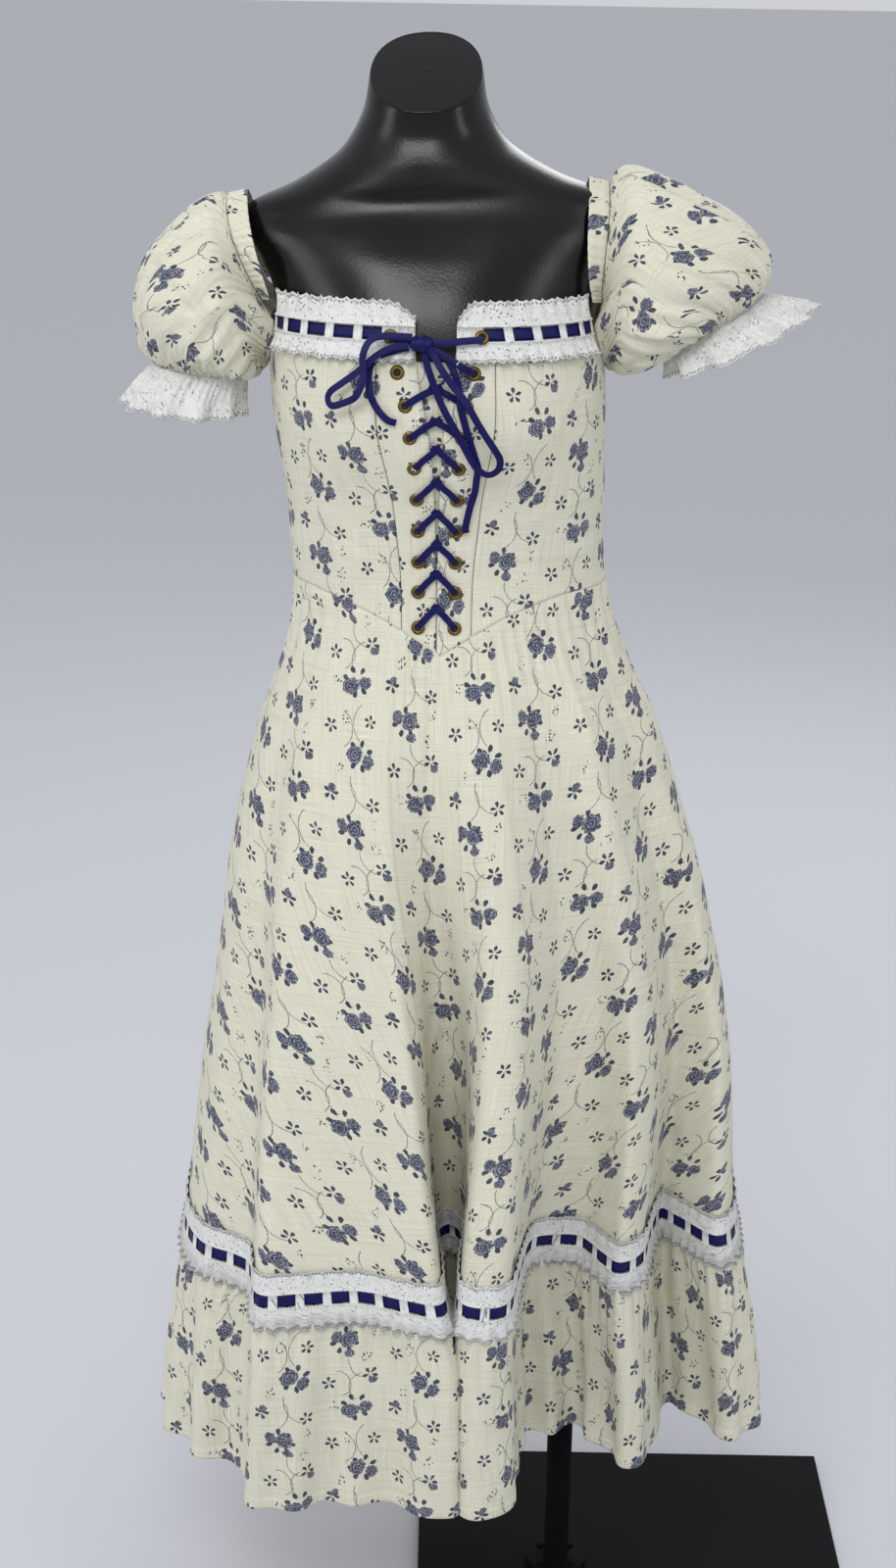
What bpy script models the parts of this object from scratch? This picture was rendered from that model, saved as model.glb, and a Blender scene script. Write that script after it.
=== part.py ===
# Corset dress on a limbless dress form, in metres, +Z up.
# The origin is on the floor under the axis of the stand's pole, and the front faces -Y.
# Left and right are as seen from the front, so left is -X.

import math

import bmesh
import bpy
from mathutils import Matrix, Vector

# Cloth, lace and ribbon
CLOTH = 0.0015  # wall of the printed linen, with its seam allowances
SEAM_GAP = 0.0006  # between two pieces sewn edge to edge
PLACKET_OUTER = 0.0032  # from the outside of the bodice to the strip behind the lacing
PLACKET_INNER = 0.0042
FORM_EASE = 0.0058  # from the outside of the bodice to the form
BODY_CURVE = 2.2  # exponent of the oval that every level cut follows, 2 is an ellipse

# Heights above the floor
WAIST_FRONT_Z = 0.995  # lowest point of the basque waist
WAIST_SIDE_Z = 1.045
WAIST_REACH = 0.120  # half width over which the front waist seam rises
WAIST_CURVE = 1.6  # 1 is a straight V
NECK_Z = 1.285  # top edge of the front panels
BACK_NECK_Z = 1.295
UNDERARM_Z = 1.236
LACE_LINE_Z = 0.476  # where the skirt passes under the hem lace
FLOUNCE_SEAM_Z = 0.418
HEM_Z = 0.222
FOLD_LEVEL_Z = 0.434  # the level at which the fold table below is given

# Level cuts of the outside of the dress. The bodice is above the waist, the skirt below it.
# height, centre x, half width, reach to the front, reach to the back
DRESS_CUTS = (
    (0.200, -0.098, 0.286, 0.238, 0.236),
    (0.282, -0.099, 0.281, 0.240, 0.232),
    (0.377, -0.102, 0.269, 0.241, 0.228),
    (0.434, -0.104, 0.261, 0.240, 0.225),
    (0.501, -0.103, 0.256, 0.232, 0.219),
    (0.613, -0.101, 0.246, 0.214, 0.205),
    (0.687, -0.102, 0.233, 0.199, 0.192),
    (0.779, -0.108, 0.217, 0.178, 0.175),
    (0.836, -0.112, 0.202, 0.163, 0.160),
    (0.874, -0.114, 0.191, 0.152, 0.151),
    (0.921, -0.116, 0.177, 0.136, 0.137),
    (0.955, -0.118, 0.162, 0.119, 0.122),
    (1.000, -0.121, 0.146, 0.099, 0.103),
    (1.035, -0.124, 0.140, 0.092, 0.094),
    (1.064, -0.128, 0.139, 0.092, 0.090),
    (1.120, -0.131, 0.1405, 0.101, 0.093),
    (1.161, -0.135, 0.1430, 0.112, 0.097),
    (1.205, -0.138, 0.1455, 0.119, 0.100),
    (1.250, -0.141, 0.1445, 0.116, 0.101),
    (1.300, -0.1445, 0.1400, 0.103, 0.099),
)

# The two cups: where they are fullest, how far they spread and rise
CUP_ANGLE = math.radians(31.0)
CUP_ANGLE_SPREAD = math.radians(17.0)
CUP_Z = 1.192
CUP_Z_SPREAD = 0.042
CUP_RISE = 0.009
SIDE_REACH = 0.14  # from the middle of the bodice to its side seams

# The front opening: height, x of the centre line, half of the gap,
# centre line to eyelet, centre line to princess seam
FRONT_OPENING = (
    (0.990, -0.1362, 0.0003, 0.0155, 0.030),
    (1.060, -0.1368, 0.0004, 0.0158, 0.031),
    (1.105, -0.1372, 0.0013, 0.0163, 0.035),
    (1.134, -0.1376, 0.0023, 0.0170, 0.038),
    (1.162, -0.1382, 0.0036, 0.0185, 0.042),
    (1.190, -0.1390, 0.0062, 0.0215, 0.046),
    (1.216, -0.1396, 0.0105, 0.0250, 0.048),
    (1.243, -0.1402, 0.0150, 0.0315, 0.049),
    (1.271, -0.1404, 0.0175, 0.0370, 0.050),
    (1.300, -0.1404, 0.0185, 0.0380, 0.050),
)

# Plan of the skirt's folds at the level of the hem lace, from the left side round the front.
# x from the skirt's centre, y, and how freely the flounce may gather there
FRONT_FOLDS = (
    (-0.261, 0.000, 1.0),  # left side
    (-0.258, -0.080, 1.0),
    (-0.238, -0.132, 0.8),  # rounded crest
    (-0.207, -0.153, 0.5),
    (-0.190, -0.172, 0.2),  # tucked behind the next crest
    (-0.180, -0.224, 0.5),  # left edge of the broad front crest
    (-0.144, -0.223, 1.0),
    (-0.092, -0.216, 1.0),
    (-0.046, -0.232, 0.8),
    (-0.018, -0.236, 0.2),  # its right edge
    (-0.0165, -0.190, 0.0),
    (-0.026, -0.115, 0.1),
    (-0.012, -0.088, 0.1),  # bottom of the deep middle fold
    (0.004, -0.115, 0.1),
    (-0.0015, -0.190, 0.0),
    (0.000, -0.232, 0.2),  # narrow crest
    (0.022, -0.242, 0.5),
    (0.041, -0.228, 0.3),
    (0.050, -0.170, 0.2),
    (0.062, -0.117, 0.5),  # set back, right of the middle
    (0.087, -0.105, 1.0),
    (0.112, -0.108, 0.8),
    (0.131, -0.138, 0.4),
    (0.145, -0.156, 0.4),  # small crest
    (0.165, -0.135, 0.4),
    (0.176, -0.085, 0.2),
    (0.189, -0.050, 0.3),  # tucked behind it
    (0.208, -0.068, 0.6),
    (0.238, -0.103, 0.8),  # right crest
    (0.257, -0.072, 1.0),
    (0.261, 0.000, 1.0),  # right side
)
BACK_FOLDS = (
    (0.261, 0.000, 1.0),
    (0.258, 0.070, 1.0),
    (0.236, 0.118, 0.8),
    (0.202, 0.122, 0.6),  # valley
    (0.182, 0.160, 0.6),
    (0.158, 0.203, 0.8),  # crest
    (0.124, 0.196, 0.6),
    (0.103, 0.150, 0.5),  # valley
    (0.078, 0.158, 0.6),
    (0.056, 0.212, 0.8),  # crest
    (0.022, 0.222, 0.8),
    (-0.006, 0.176, 0.5),
    (-0.028, 0.140, 0.5),  # valley
    (-0.052, 0.168, 0.6),
    (-0.082, 0.215, 0.8),  # crest
    (-0.118, 0.196, 0.6),
    (-0.136, 0.142, 0.5),  # valley
    (-0.164, 0.132, 0.6),
    (-0.196, 0.164, 0.8),  # crest
    (-0.226, 0.138, 0.8),
    (-0.250, 0.086, 1.0),
    (-0.261, 0.000, 1.0),
)
FOLD_GROWTH = 0.95  # 1 is a straight fan from the waist
FOLD_LIMIT = 1.12  # the folds go on deepening below the lace, down to the hem

# Lace with a ribbon run through its slots
FRONT_SLOTS = 54  # slots of the hem lace from side seam to side seam round the front
BACK_SLOTS = 38
SLOT_START = 0.16  # of the pitch
SLOT_END = 0.84
LACE_CLEAR = 0.0018
LACE = 0.0010
RIBBON_CLEAR = 0.0006
RIBBON = 0.0006
HEM_LACE_TOP_Z = 0.461
HEM_LACE_LOW_Z = 0.407
HEM_SLOT_TOP_Z = 0.4405
HEM_SLOT_LOW_Z = 0.4290
HEM_SCALLOP_OUT = 0.0025
NECK_LACE_TOP_Z = 1.300
NECK_LACE_LOW_Z = 1.2495
NECK_SLOT_TOP_Z = 1.2790
NECK_SLOT_LOW_Z = 1.2680
NECK_LACE_TURNS = (19.5, 31.0, 42.5, 53.5, 63.0, 69.5)  # degrees from the front, a slot between two
NECK_LACE_CLEAR = 0.0026
NECK_RIBBON_CLEAR = 0.0012
SCALLOP = 0.0025
NECK_LACE_DIP = 0.014  # its upper edge dips to the front opening

# Flounce
FLOUNCE_WAVES = 46
FLOUNCE_STEPS = 2  # columns of the flounce to one column of the skirt
WAVE_AT_HEM = 0.0105
FLOUNCE_DROP = 0.0008  # below the skirt's edge
FLOUNCE_MIDDLE_Z = 0.345

# Front lacing
# height, and how far out from the smooth front each row sits on its flat facets
EYELET_ROWS = (
    (1.019, 0.0012),
    (1.050, 0.0013),
    (1.077, 0.0007),
    (1.105, 0.0006),
    (1.134, 0.0011),
    (1.162, 0.0003),
    (1.189, 0.0000),
    (1.216, 0.0001),
    (1.243, 0.0003),
    (1.271, 0.0059),  # set through the lace
)
EYELET_OUTER = 0.0061
EYELET_HOLE = 0.0030
EYELET_RISE = 0.0015
LACING_WIDTH = 0.0066
LACING = 0.0007
LACING_RISE = 0.017  # from an eyelet up to where the two runs cross
LACING_CLEAR = 0.0022  # from a row of eyelets out to its ribbon
LACING_CROSS_CLEAR = 0.0016

# Routes of the bow, all from the knot: from the centre line, height, out from the dress
LEFT_LOOP = (
    (-0.0215, 1.2640, 0.0124),
    (-0.0335, 1.2620, 0.0118),
    (-0.0450, 1.2560, 0.0120),
    (-0.0563, 1.2450, 0.0120),
    (-0.0690, 1.2335, 0.0120),
    (-0.0785, 1.2245, 0.0120),
    (-0.0800, 1.2180, 0.0125),
    (-0.0755, 1.2140, 0.0135),
    (-0.0677, 1.2165, 0.0150),
    (-0.0587, 1.2226, 0.0165),
    (-0.0547, 1.2376, 0.0175),
    (-0.0550, 1.2540, 0.0180),
    (-0.0500, 1.2660, 0.0175),
    (-0.0400, 1.2700, 0.0165),
    (-0.0183, 1.2700, 0.0150),
)
RIGHT_LOOP = (
    (-0.0050, 1.2618, 0.0150),
    (-0.0010, 1.2560, 0.0150),
    (0.0050, 1.2460, 0.0160),
    (0.0138, 1.2343, 0.0165),
    (0.0247, 1.2210, 0.0170),
    (0.0350, 1.2040, 0.0170),
    (0.0463, 1.1860, 0.0165),
    (0.0496, 1.1773, 0.0155),
    (0.0480, 1.1690, 0.0140),
    (0.0410, 1.1640, 0.0125),
    (0.0333, 1.1684, 0.0110),
    (0.0260, 1.1810, 0.0105),
    (0.0170, 1.1980, 0.0105),
    (0.0070, 1.2150, 0.0105),
    (-0.0010, 1.2330, 0.0105),
    (-0.0070, 1.2500, 0.0105),
    (-0.0085, 1.2583, 0.0118),
)
LEFT_TAIL = (
    (-0.0216, 1.2628, 0.0080),
    (-0.0330, 1.2600, 0.0070),
    (-0.0437, 1.2560, 0.0070),
    (-0.0514, 1.2476, 0.0070),
    (-0.0530, 1.2364, 0.0060),
    (-0.0514, 1.2243, 0.0052),
    (-0.0458, 1.2130, 0.0046),
    (-0.0385, 1.2050, 0.0042),
    (-0.0320, 1.2026, 0.0040),
)
RIGHT_TAIL = (
    (0.0020, 1.2590, 0.0080),
    (0.0095, 1.2540, 0.0072),
    (0.0155, 1.2430, 0.0066),
    (0.0185, 1.2325, 0.0062),
    (0.0203, 1.2165, 0.0060),
    (0.0247, 1.2000, 0.0058),
    (0.0312, 1.1770, 0.0056),
    (0.0339, 1.1660, 0.0056),
    (0.0328, 1.1550, 0.0054),
    (0.0312, 1.1427, 0.0052),
    (0.0270, 1.1270, 0.0050),
    (0.0241, 1.1116, 0.0048),
    (0.0248, 1.1060, 0.0046),
)
# Runs of lacing that the knot is tied in, in the same columns
TOP_RUN = (
    (-0.0370, 1.2690, 0.0084),
    (-0.0260, 1.2680, 0.0094),
    (-0.0115, 1.2665, 0.0105),
    (0.0080, 1.2665, 0.0104),
    (0.0230, 1.2680, 0.0094),
    (0.0370, 1.2690, 0.0084),
)
SECOND_RUN = (
    (0.0315, 1.2430, 0.0042),
    (0.0240, 1.2465, 0.0078),
    (0.0100, 1.2550, 0.0085),
    (-0.0070, 1.2640, 0.0100),
)
KNOT_X = -0.0115  # from the centre line
KNOT_Z = 1.2655
KNOT_OUT = 0.0110
KNOT_WIDTH = 0.020
KNOT_HEIGHT = 0.013
KNOT_DEPTH = 0.011

# Elastic casing of each sleeve, along its inner edge from front to back:
# x, y, height, and the run of its width in x and y
LEFT_CASING = (
    (-0.2825, -0.0440, 1.2910, -0.0080, 0.0140),
    (-0.2885, -0.0500, 1.3120, -0.0120, 0.0100),
    (-0.2955, -0.0465, 1.3380, -0.0160, 0.0050),
    (-0.3010, -0.0310, 1.3620, -0.0175, 0.0010),
    (-0.3035, 0.0000, 1.3780, -0.0175, 0.0000),
    (-0.3010, 0.0330, 1.3640, -0.0175, -0.0010),
    (-0.2955, 0.0480, 1.3420, -0.0160, -0.0050),
    (-0.2885, 0.0510, 1.3200, -0.0120, -0.0100),
    (-0.2825, 0.0450, 1.3010, -0.0080, -0.0140),
)
RIGHT_CASING = (
    (-0.0080, -0.0440, 1.2930, 0.0080, 0.0140),
    (-0.0125, -0.0510, 1.3140, 0.0120, 0.0100),
    (-0.0145, -0.0480, 1.3430, 0.0160, 0.0050),
    (-0.0140, -0.0350, 1.3715, 0.0175, 0.0010),
    (-0.0130, 0.0000, 1.3930, 0.0175, 0.0000),
    (-0.0130, 0.0360, 1.3780, 0.0175, -0.0010),
    (-0.0125, 0.0500, 1.3520, 0.0160, -0.0050),
    (-0.0110, 0.0520, 1.3260, 0.0120, -0.0100),
    (-0.0075, 0.0450, 1.3020, 0.0080, -0.0140),
)
CASING_DROP = 0.004  # its outer edge is this much lower over the shoulder
ARMHOLE_FRONT = math.radians(73.0)
ARMHOLE_BACK = math.radians(109.0)

# Rings of each puff sleeve after the armhole:
# x and height of its outermost point, x and height of its innermost point, half depth
LEFT_SLEEVE = (
    (-0.338, 1.3700, -0.2935, 1.2260, 0.064),
    (-0.365, 1.3480, -0.2960, 1.2225, 0.074),
    (-0.388, 1.3190, -0.2985, 1.2210, 0.077),
    (-0.398, 1.2880, -0.3005, 1.2205, 0.073),
    (-0.397, 1.2560, -0.3020, 1.2210, 0.060),
    (-0.387, 1.2310, -0.3040, 1.2215, 0.046),
)
RIGHT_SLEEVE = (
    (0.020, 1.4010, 0.0135, 1.2320, 0.064),
    (0.055, 1.3900, 0.0180, 1.2300, 0.074),
    (0.090, 1.3720, 0.0270, 1.2300, 0.077),
    (0.121, 1.3530, 0.0370, 1.2330, 0.073),
    (0.143, 1.3260, 0.0480, 1.2400, 0.060),
    (0.139, 1.2980, 0.0580, 1.2510, 0.046),
)
# Rings of each eyelet ruffle, in the same columns, with the height of its waves
LEFT_RUFFLE = (
    (-0.387, 1.2304, -0.3043, 1.2209, 0.0458, 0.0000),
    (-0.402, 1.2130, -0.3070, 1.2050, 0.0550, 0.0025),
    (-0.414, 1.1950, -0.3080, 1.1860, 0.0640, 0.0060),
)
RIGHT_RUFFLE = (
    (0.1396, 1.2974, 0.0584, 1.2502, 0.0458, 0.0000),
    (0.164, 1.2930, 0.0590, 1.2390, 0.0590, 0.0025),
    (0.187, 1.2880, 0.0610, 1.2260, 0.0720, 0.0060),
)
SLEEVE_COLUMNS = 24
RUFFLE_WAVES = 11
RUFFLE_STEPS = 4  # columns to a wave
SLEEVE_WALL = 0.0012
SLEEVE_SEAM_GAP = 0.0010
ARMHOLE_GAP = 0.0008

# Dress form: hips, then chest to neck, with the forward tilt of each level cut
# height, centre x, centre y, half width, reach to the front, reach to the back, tilt
FORM_HIPS = (
    (0.820, -0.114, 0.000, 0.146, 0.092, 0.096, 0.0),
    (0.826, -0.114, 0.000, 0.151, 0.096, 0.100, 0.0),
    (0.885, -0.115, 0.000, 0.158, 0.101, 0.106, 0.0),
    (0.950, -0.118, 0.000, 0.149, 0.096, 0.101, 0.0),
)
FORM_BODICE_ROWS = (1.000, 1.045, 1.090, 1.140, 1.190, 1.235, 1.285)
FORM_NECK = (
    (1.322, -0.146, 0.000, 0.1460, 0.0840, 0.0890, 0.0),
    (1.345, -0.147, 0.000, 0.1590, 0.0700, 0.0770, 0.0),
    (1.364, -0.148, 0.000, 0.1600, 0.0560, 0.0600, 0.0),
    (1.376, -0.149, 0.000, 0.1490, 0.0510, 0.0560, 0.0),
    (1.390, -0.150, 0.000, 0.1140, 0.0520, 0.0580, 3.0),
    (1.408, -0.151, 0.000, 0.0820, 0.0510, 0.0550, 7.0),
    (1.424, -0.152, 0.000, 0.0650, 0.0500, 0.0530, 14.0),
    (1.448, -0.1525, 0.000, 0.0525, 0.0490, 0.0510, 25.0),
    (1.474, -0.1525, 0.000, 0.0480, 0.0530, 0.0530, 35.0),
    (1.4765, -0.1525, -0.0015, 0.0465, 0.0515, 0.0515, 35.0),
)
SHOULDER_LEAN = 0.045  # the right shoulder stands higher than the left
SHOULDER_LEAN_Z = 1.33
FORM_COLUMNS = 24

# Stand
POLE_RADIUS = 0.0125
FLANGE_RADIUS = 0.031
FLANGE = 0.006
PLATE = 0.007
PLATE_SIZE = 0.432
PLATE_X = 0.075
PLATE_Y = -0.021
CLEARANCE = 0.0003


def clear_scene():
    for item in list(bpy.data.objects):
        bpy.data.objects.remove(item, do_unlink=True)


def make_material(name, colour, roughness, metallic=0.0):
    material = bpy.data.materials.new(name)
    material.use_nodes = True
    shader = material.node_tree.nodes["Principled BSDF"]
    shader.inputs["Base Color"].default_value = (*colour, 1.0)
    shader.inputs["Roughness"].default_value = roughness
    shader.inputs["Metallic"].default_value = metallic
    material.diffuse_color = (*colour, 1.0)
    return material


def blend(low, high, amount):
    return tuple(a + (b - a) * amount for a, b in zip(low, high))


def read_table(rows, height):
    """The columns after the first, smoothly between the rows, at a height."""
    height = min(max(height, rows[0][0]), rows[-1][0])
    last = len(rows) - 2
    index = next((i for i in range(last + 1) if height <= rows[i + 1][0]), last)
    here, there = rows[index], rows[index + 1]
    before, after = rows[max(index - 1, 0)], rows[min(index + 2, last + 1)]
    span = there[0] - here[0]
    t = (height - here[0]) / span
    values = []
    for column in range(1, len(here)):
        start = (there[column] - before[column]) / (there[0] - before[0]) * span
        end = (after[column] - here[column]) / (after[0] - here[0]) * span
        values.append(
            here[column] * (2 * t**3 - 3 * t**2 + 1)
            + start * (t**3 - 2 * t**2 + t)
            + there[column] * (3 * t**2 - 2 * t**3)
            + end * (t**3 - t**2)
        )
    return values


def catmull(before, here, there, after, t):
    """A point of the smooth curve from here to there."""
    return tuple(
        0.5 * (2 * b + (c - a) * t + (2 * a - 5 * b + 4 * c - d) * t**2 + (3 * b - 3 * c + d - a) * t**3)
        for a, b, c, d in zip(before, here, there, after)
    )


def smooth_run(rows, steps):
    """More rows between the given ones, on one smooth curve."""
    run = []
    for index in range(len(rows) - 1):
        before, after = rows[max(index - 1, 0)], rows[min(index + 2, len(rows) - 1)]
        for step in range(steps):
            run.append(catmull(before, rows[index], rows[index + 1], after, step / steps))
    run.append(tuple(rows[-1]))
    return run


def even_run(rows, count):
    """count + 1 rows at even distances along the smooth curve through the rows."""
    fine = smooth_run(rows, 12)
    lengths = [0.0]
    for here, there in zip(fine, fine[1:]):
        lengths.append(lengths[-1] + math.dist(here[:2], there[:2]))
    run, index = [], 0
    for step in range(count + 1):
        target = lengths[-1] * step / count
        while index < len(fine) - 2 and lengths[index + 1] < target:
            index += 1
        part = (target - lengths[index]) / (lengths[index + 1] - lengths[index])
        run.append(blend(fine[index], fine[index + 1], min(max(part, 0.0), 1.0)))
    return run


def oval(angle, half_width, depth):
    """Reach of a level cut at an angle from the front."""
    across = (abs(math.sin(angle)) / half_width) ** BODY_CURVE
    along = (abs(math.cos(angle)) / depth) ** BODY_CURVE
    return (across + along) ** (-1.0 / BODY_CURVE)


def waist_height(angle):
    """The basque seam dips to a point in front and is level behind."""
    if abs(angle) > math.pi / 2:
        return WAIST_SIDE_Z
    centre_x, half_width, front, back = read_table(DRESS_CUTS, WAIST_SIDE_Z)
    x = centre_x + oval(angle, half_width, front) * math.sin(angle)
    across = min(abs(x - read_table(FRONT_OPENING, WAIST_FRONT_Z)[0]) / WAIST_REACH, 1.0)
    return WAIST_FRONT_Z + (WAIST_SIDE_Z - WAIST_FRONT_Z) * (1.0 - (1.0 - across) ** WAIST_CURVE)


def neck_height(angle):
    """Top edge of the bodice: level in front and behind, scooped at each armhole."""
    turn = abs(angle)
    level = NECK_Z if turn < math.pi / 2 else BACK_NECK_Z
    edge = ARMHOLE_FRONT if turn < math.pi / 2 else ARMHOLE_BACK
    reach = abs(edge - math.pi / 2)
    across = abs(turn - math.pi / 2) / reach
    if across >= 1.0:
        return level
    return level - (level - UNDERARM_Z) * math.sqrt(1.0 - across**2)


def bodice_point(angle, height):
    """A point on the outside of the bodice."""
    centre_x, half_width, front, back = read_table(DRESS_CUTS, height)
    reach = oval(angle, half_width, front if abs(angle) < math.pi / 2 else back)
    cup = math.exp(-(((abs(angle) - CUP_ANGLE) / CUP_ANGLE_SPREAD) ** 2))
    reach += CUP_RISE * cup * math.exp(-(((height - CUP_Z) / CUP_Z_SPREAD) ** 2))
    return Vector((centre_x + reach * math.sin(angle), -reach * math.cos(angle), height))


def bodice_normal(angle, height):
    step = 0.002
    across = bodice_point(angle + step, height) - bodice_point(angle - step, height)
    up = bodice_point(angle, height + step) - bodice_point(angle, height - step)
    return across.cross(up).normalized()


def front_angle(offset, height):
    """The angle of a point that lies at an offset from the centre line of the front."""
    centre_x, half_width, front, back = read_table(DRESS_CUTS, height)
    centre_line = read_table(FRONT_OPENING, height)[0]
    across = centre_line + offset - centre_x
    level = min(abs(across) / half_width, 0.999)
    return math.atan2(across, front * (1.0 - level**BODY_CURVE) ** (1.0 / BODY_CURVE))


def front_point(offset, height, out):
    """A point in front of the dress, by its offset from the centre line."""
    angle = front_angle(offset, height)
    return bodice_point(angle, height) + bodice_normal(angle, height) * out


def add_object(name, vertices, faces, material, collection):
    mesh = bpy.data.meshes.new(name)
    mesh.from_pydata([tuple(v) for v in vertices], [], faces)
    body = bmesh.new()
    body.from_mesh(mesh)
    bmesh.ops.recalc_face_normals(body, faces=body.faces)
    body.to_mesh(mesh)
    body.free()
    mesh.shade_smooth()
    mesh.set_sharp_from_angle(angle=math.radians(50))
    mesh.materials.append(material)
    item = bpy.data.objects.new(name, mesh)
    collection.objects.link(item)
    return item


def both_sides(vertices, quad, inner):
    """A quad of a wall's outer side as two triangles, and the same two of its inner side."""
    a, b, c, d = quad
    if (vertices[a] - vertices[c]).length <= (vertices[b] - vertices[d]).length:
        halves = ((a, b, c), (a, c, d))
    else:
        halves = ((a, b, d), (b, c, d))
    faces = []
    for half in halves:
        faces.append(list(half))
        faces.append([index + inner for index in reversed(half)])
    return faces


def cloth_wall(name, points, normals, low, high, material, collection, closed=False):
    """A wall on a grid of points, between two distances out along their normals."""
    rows, columns = len(points), len(points[0])
    vertices = []
    for out in (high, low):
        for row in range(rows):
            for column in range(columns):
                vertices.append(points[row][column] + normals[row][column] * out)
    inner = rows * columns

    def at(row, column, side=0):
        return side * inner + row * columns + column % columns

    faces = []
    last = columns if closed else columns - 1
    for column in range(last):
        for row in range(rows - 1):
            corners = ((row, column), (row + 1, column), (row + 1, column + 1), (row, column + 1))
            faces += both_sides(vertices, [at(r, c) for r, c in corners], inner)
        for row in (0, rows - 1):
            faces.append([at(row, column), at(row, column + 1), at(row, column + 1, 1), at(row, column, 1)])
    if not closed:
        for column in (0, columns - 1):
            for row in range(rows - 1):
                side = [at(row, column), at(row + 1, column), at(row + 1, column, 1), at(row, column, 1)]
                faces.append(side)
    return add_object(name, vertices, faces, material, collection)


def slotted_wall(name, corner, columns, plain, low, high, material, collection):
    """A lace band: one slot to a column, cut through, after a number of plain columns.

    corner(column, level) gives a point and its normal, level 0 being the lower edge,
    1 and 2 the slot's lower and upper edges, and 3 the upper edge.
    """
    vertices, faces = [], []
    count = 0
    for out in (high, low):
        for column in range(columns + 1):
            for level in (0, 3):
                point, normal = corner(column, level)
                vertices.append(point + normal * out)
        for column in range(plain, columns):
            for part, level in ((SLOT_START, 1), (SLOT_END, 1), (SLOT_END, 2), (SLOT_START, 2)):
                point, normal = corner(column + part, level)
                vertices.append(point + normal * out)
        count = count or len(vertices)
    holes = 2 * (columns + 1)
    for column in range(columns):
        frame = [2 * column, 2 * column + 2, 2 * column + 3, 2 * column + 1]
        if column < plain:
            faces += both_sides(vertices, frame, count)
        hole = [holes + 4 * (column - plain) + corner_index for corner_index in range(4)]
        for side in range(4 if column >= plain else 0):
            following = (side + 1) % 4
            faces += both_sides(vertices, [frame[side], frame[following], hole[following], hole[side]], count)
            edge = [hole[side], hole[following]]
            faces.append([edge[1], edge[0], edge[0] + count, edge[1] + count])
        for start, end in ((frame[0], frame[1]), (frame[2], frame[3])):
            faces.append([start, end, end + count, start + count])
    for bottom in (0, 2 * columns):
        faces.append([bottom, bottom + 1, bottom + 1 + count, bottom + count])
    return add_object(name, vertices, faces, material, collection)


def bodice_panel(name, left_edge, right_edge, columns, rows, material, collection):
    """A panel between two seams, each given as the angle of the seam at a height."""
    points, normals = [], []
    for row in range(rows + 1):
        part = 1.0 - row / rows
        line, outs = [], []
        for column in range(columns + 1):
            height = (WAIST_SIDE_Z + NECK_Z) / 2
            for _ in range(6):
                angle = left_edge(height) + (right_edge(height) - left_edge(height)) * column / columns
                low, high = waist_height(angle) + SEAM_GAP, neck_height(angle)
                height = low + (high - low) * part
            line.append(bodice_point(angle, height))
            outs.append(bodice_normal(angle, height))
        points.append(line)
        normals.append(outs)
    return cloth_wall(name, points, normals, -CLOTH, 0.0, material, collection)


def build_bodice(material, collection):
    gap = SEAM_GAP / 2

    def front_edge(side):
        return lambda height: front_angle(side * read_table(FRONT_OPENING, height)[1], height)

    def princess(side, shift):
        return lambda height: front_angle(side * (read_table(FRONT_OPENING, height)[3] + shift), height)

    def side_seam(side, shift):
        return lambda height: side * (math.pi / 2 + shift / SIDE_REACH)

    bodice_panel("front_panel_left", princess(-1, -gap), front_edge(-1), 3, 10, material, collection)
    bodice_panel("front_panel_right", front_edge(1), princess(1, -gap), 3, 10, material, collection)
    bodice_panel("side_panel_left", side_seam(-1, -gap), princess(-1, gap), 9, 8, material, collection)
    bodice_panel("side_panel_right", princess(1, gap), side_seam(1, -gap), 9, 8, material, collection)

    def back_right(height):
        return math.pi / 2 + gap / SIDE_REACH

    def back_left(height):
        return 1.5 * math.pi - gap / SIDE_REACH

    points, normals = [], []
    columns, rows = 16, 6
    for row in range(rows + 1):
        line, outs = [], []
        for column in range(columns + 1):
            turn = back_right(0) + (back_left(0) - back_right(0)) * column / columns
            angle = turn if turn <= math.pi else turn - 2 * math.pi
            low, high = WAIST_SIDE_Z + SEAM_GAP, neck_height(angle)
            height = high + (low - high) * row / rows
            line.append(bodice_point(angle, height))
            outs.append(bodice_normal(angle, height))
        points.append(line)
        normals.append(outs)
    cloth_wall("back_panel", points, normals, -CLOTH, 0.0, material, collection)


def build_placket(material, collection):
    """The strip of the same cloth behind the laced opening."""
    points, normals = [], []
    for height in (1.252, 1.222, 1.190, 1.155, 1.120, 1.090, 1.055, 1.025):
        angles = [front_angle(offset, height) for offset in (-0.028, -0.010, 0.010, 0.028)]
        points.append([bodice_point(angle, height) for angle in angles])
        normals.append([bodice_normal(angle, height) for angle in angles])
    cloth_wall("lacing_placket", points, normals, -PLACKET_INNER, -PLACKET_OUTER, material, collection)


def skirt_columns():
    """For each column round the skirt: its fold in plan, its angle at the waist, its gather."""
    columns = []
    for rows, count, start in ((FRONT_FOLDS, FRONT_SLOTS, -1), (BACK_FOLDS, BACK_SLOTS, 1)):
        for index, (x, y, gather) in enumerate(even_run(rows, count)[:-1]):
            columns.append((x, y, gather, start * math.pi / 2 + math.pi * index / count))
    return columns


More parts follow.
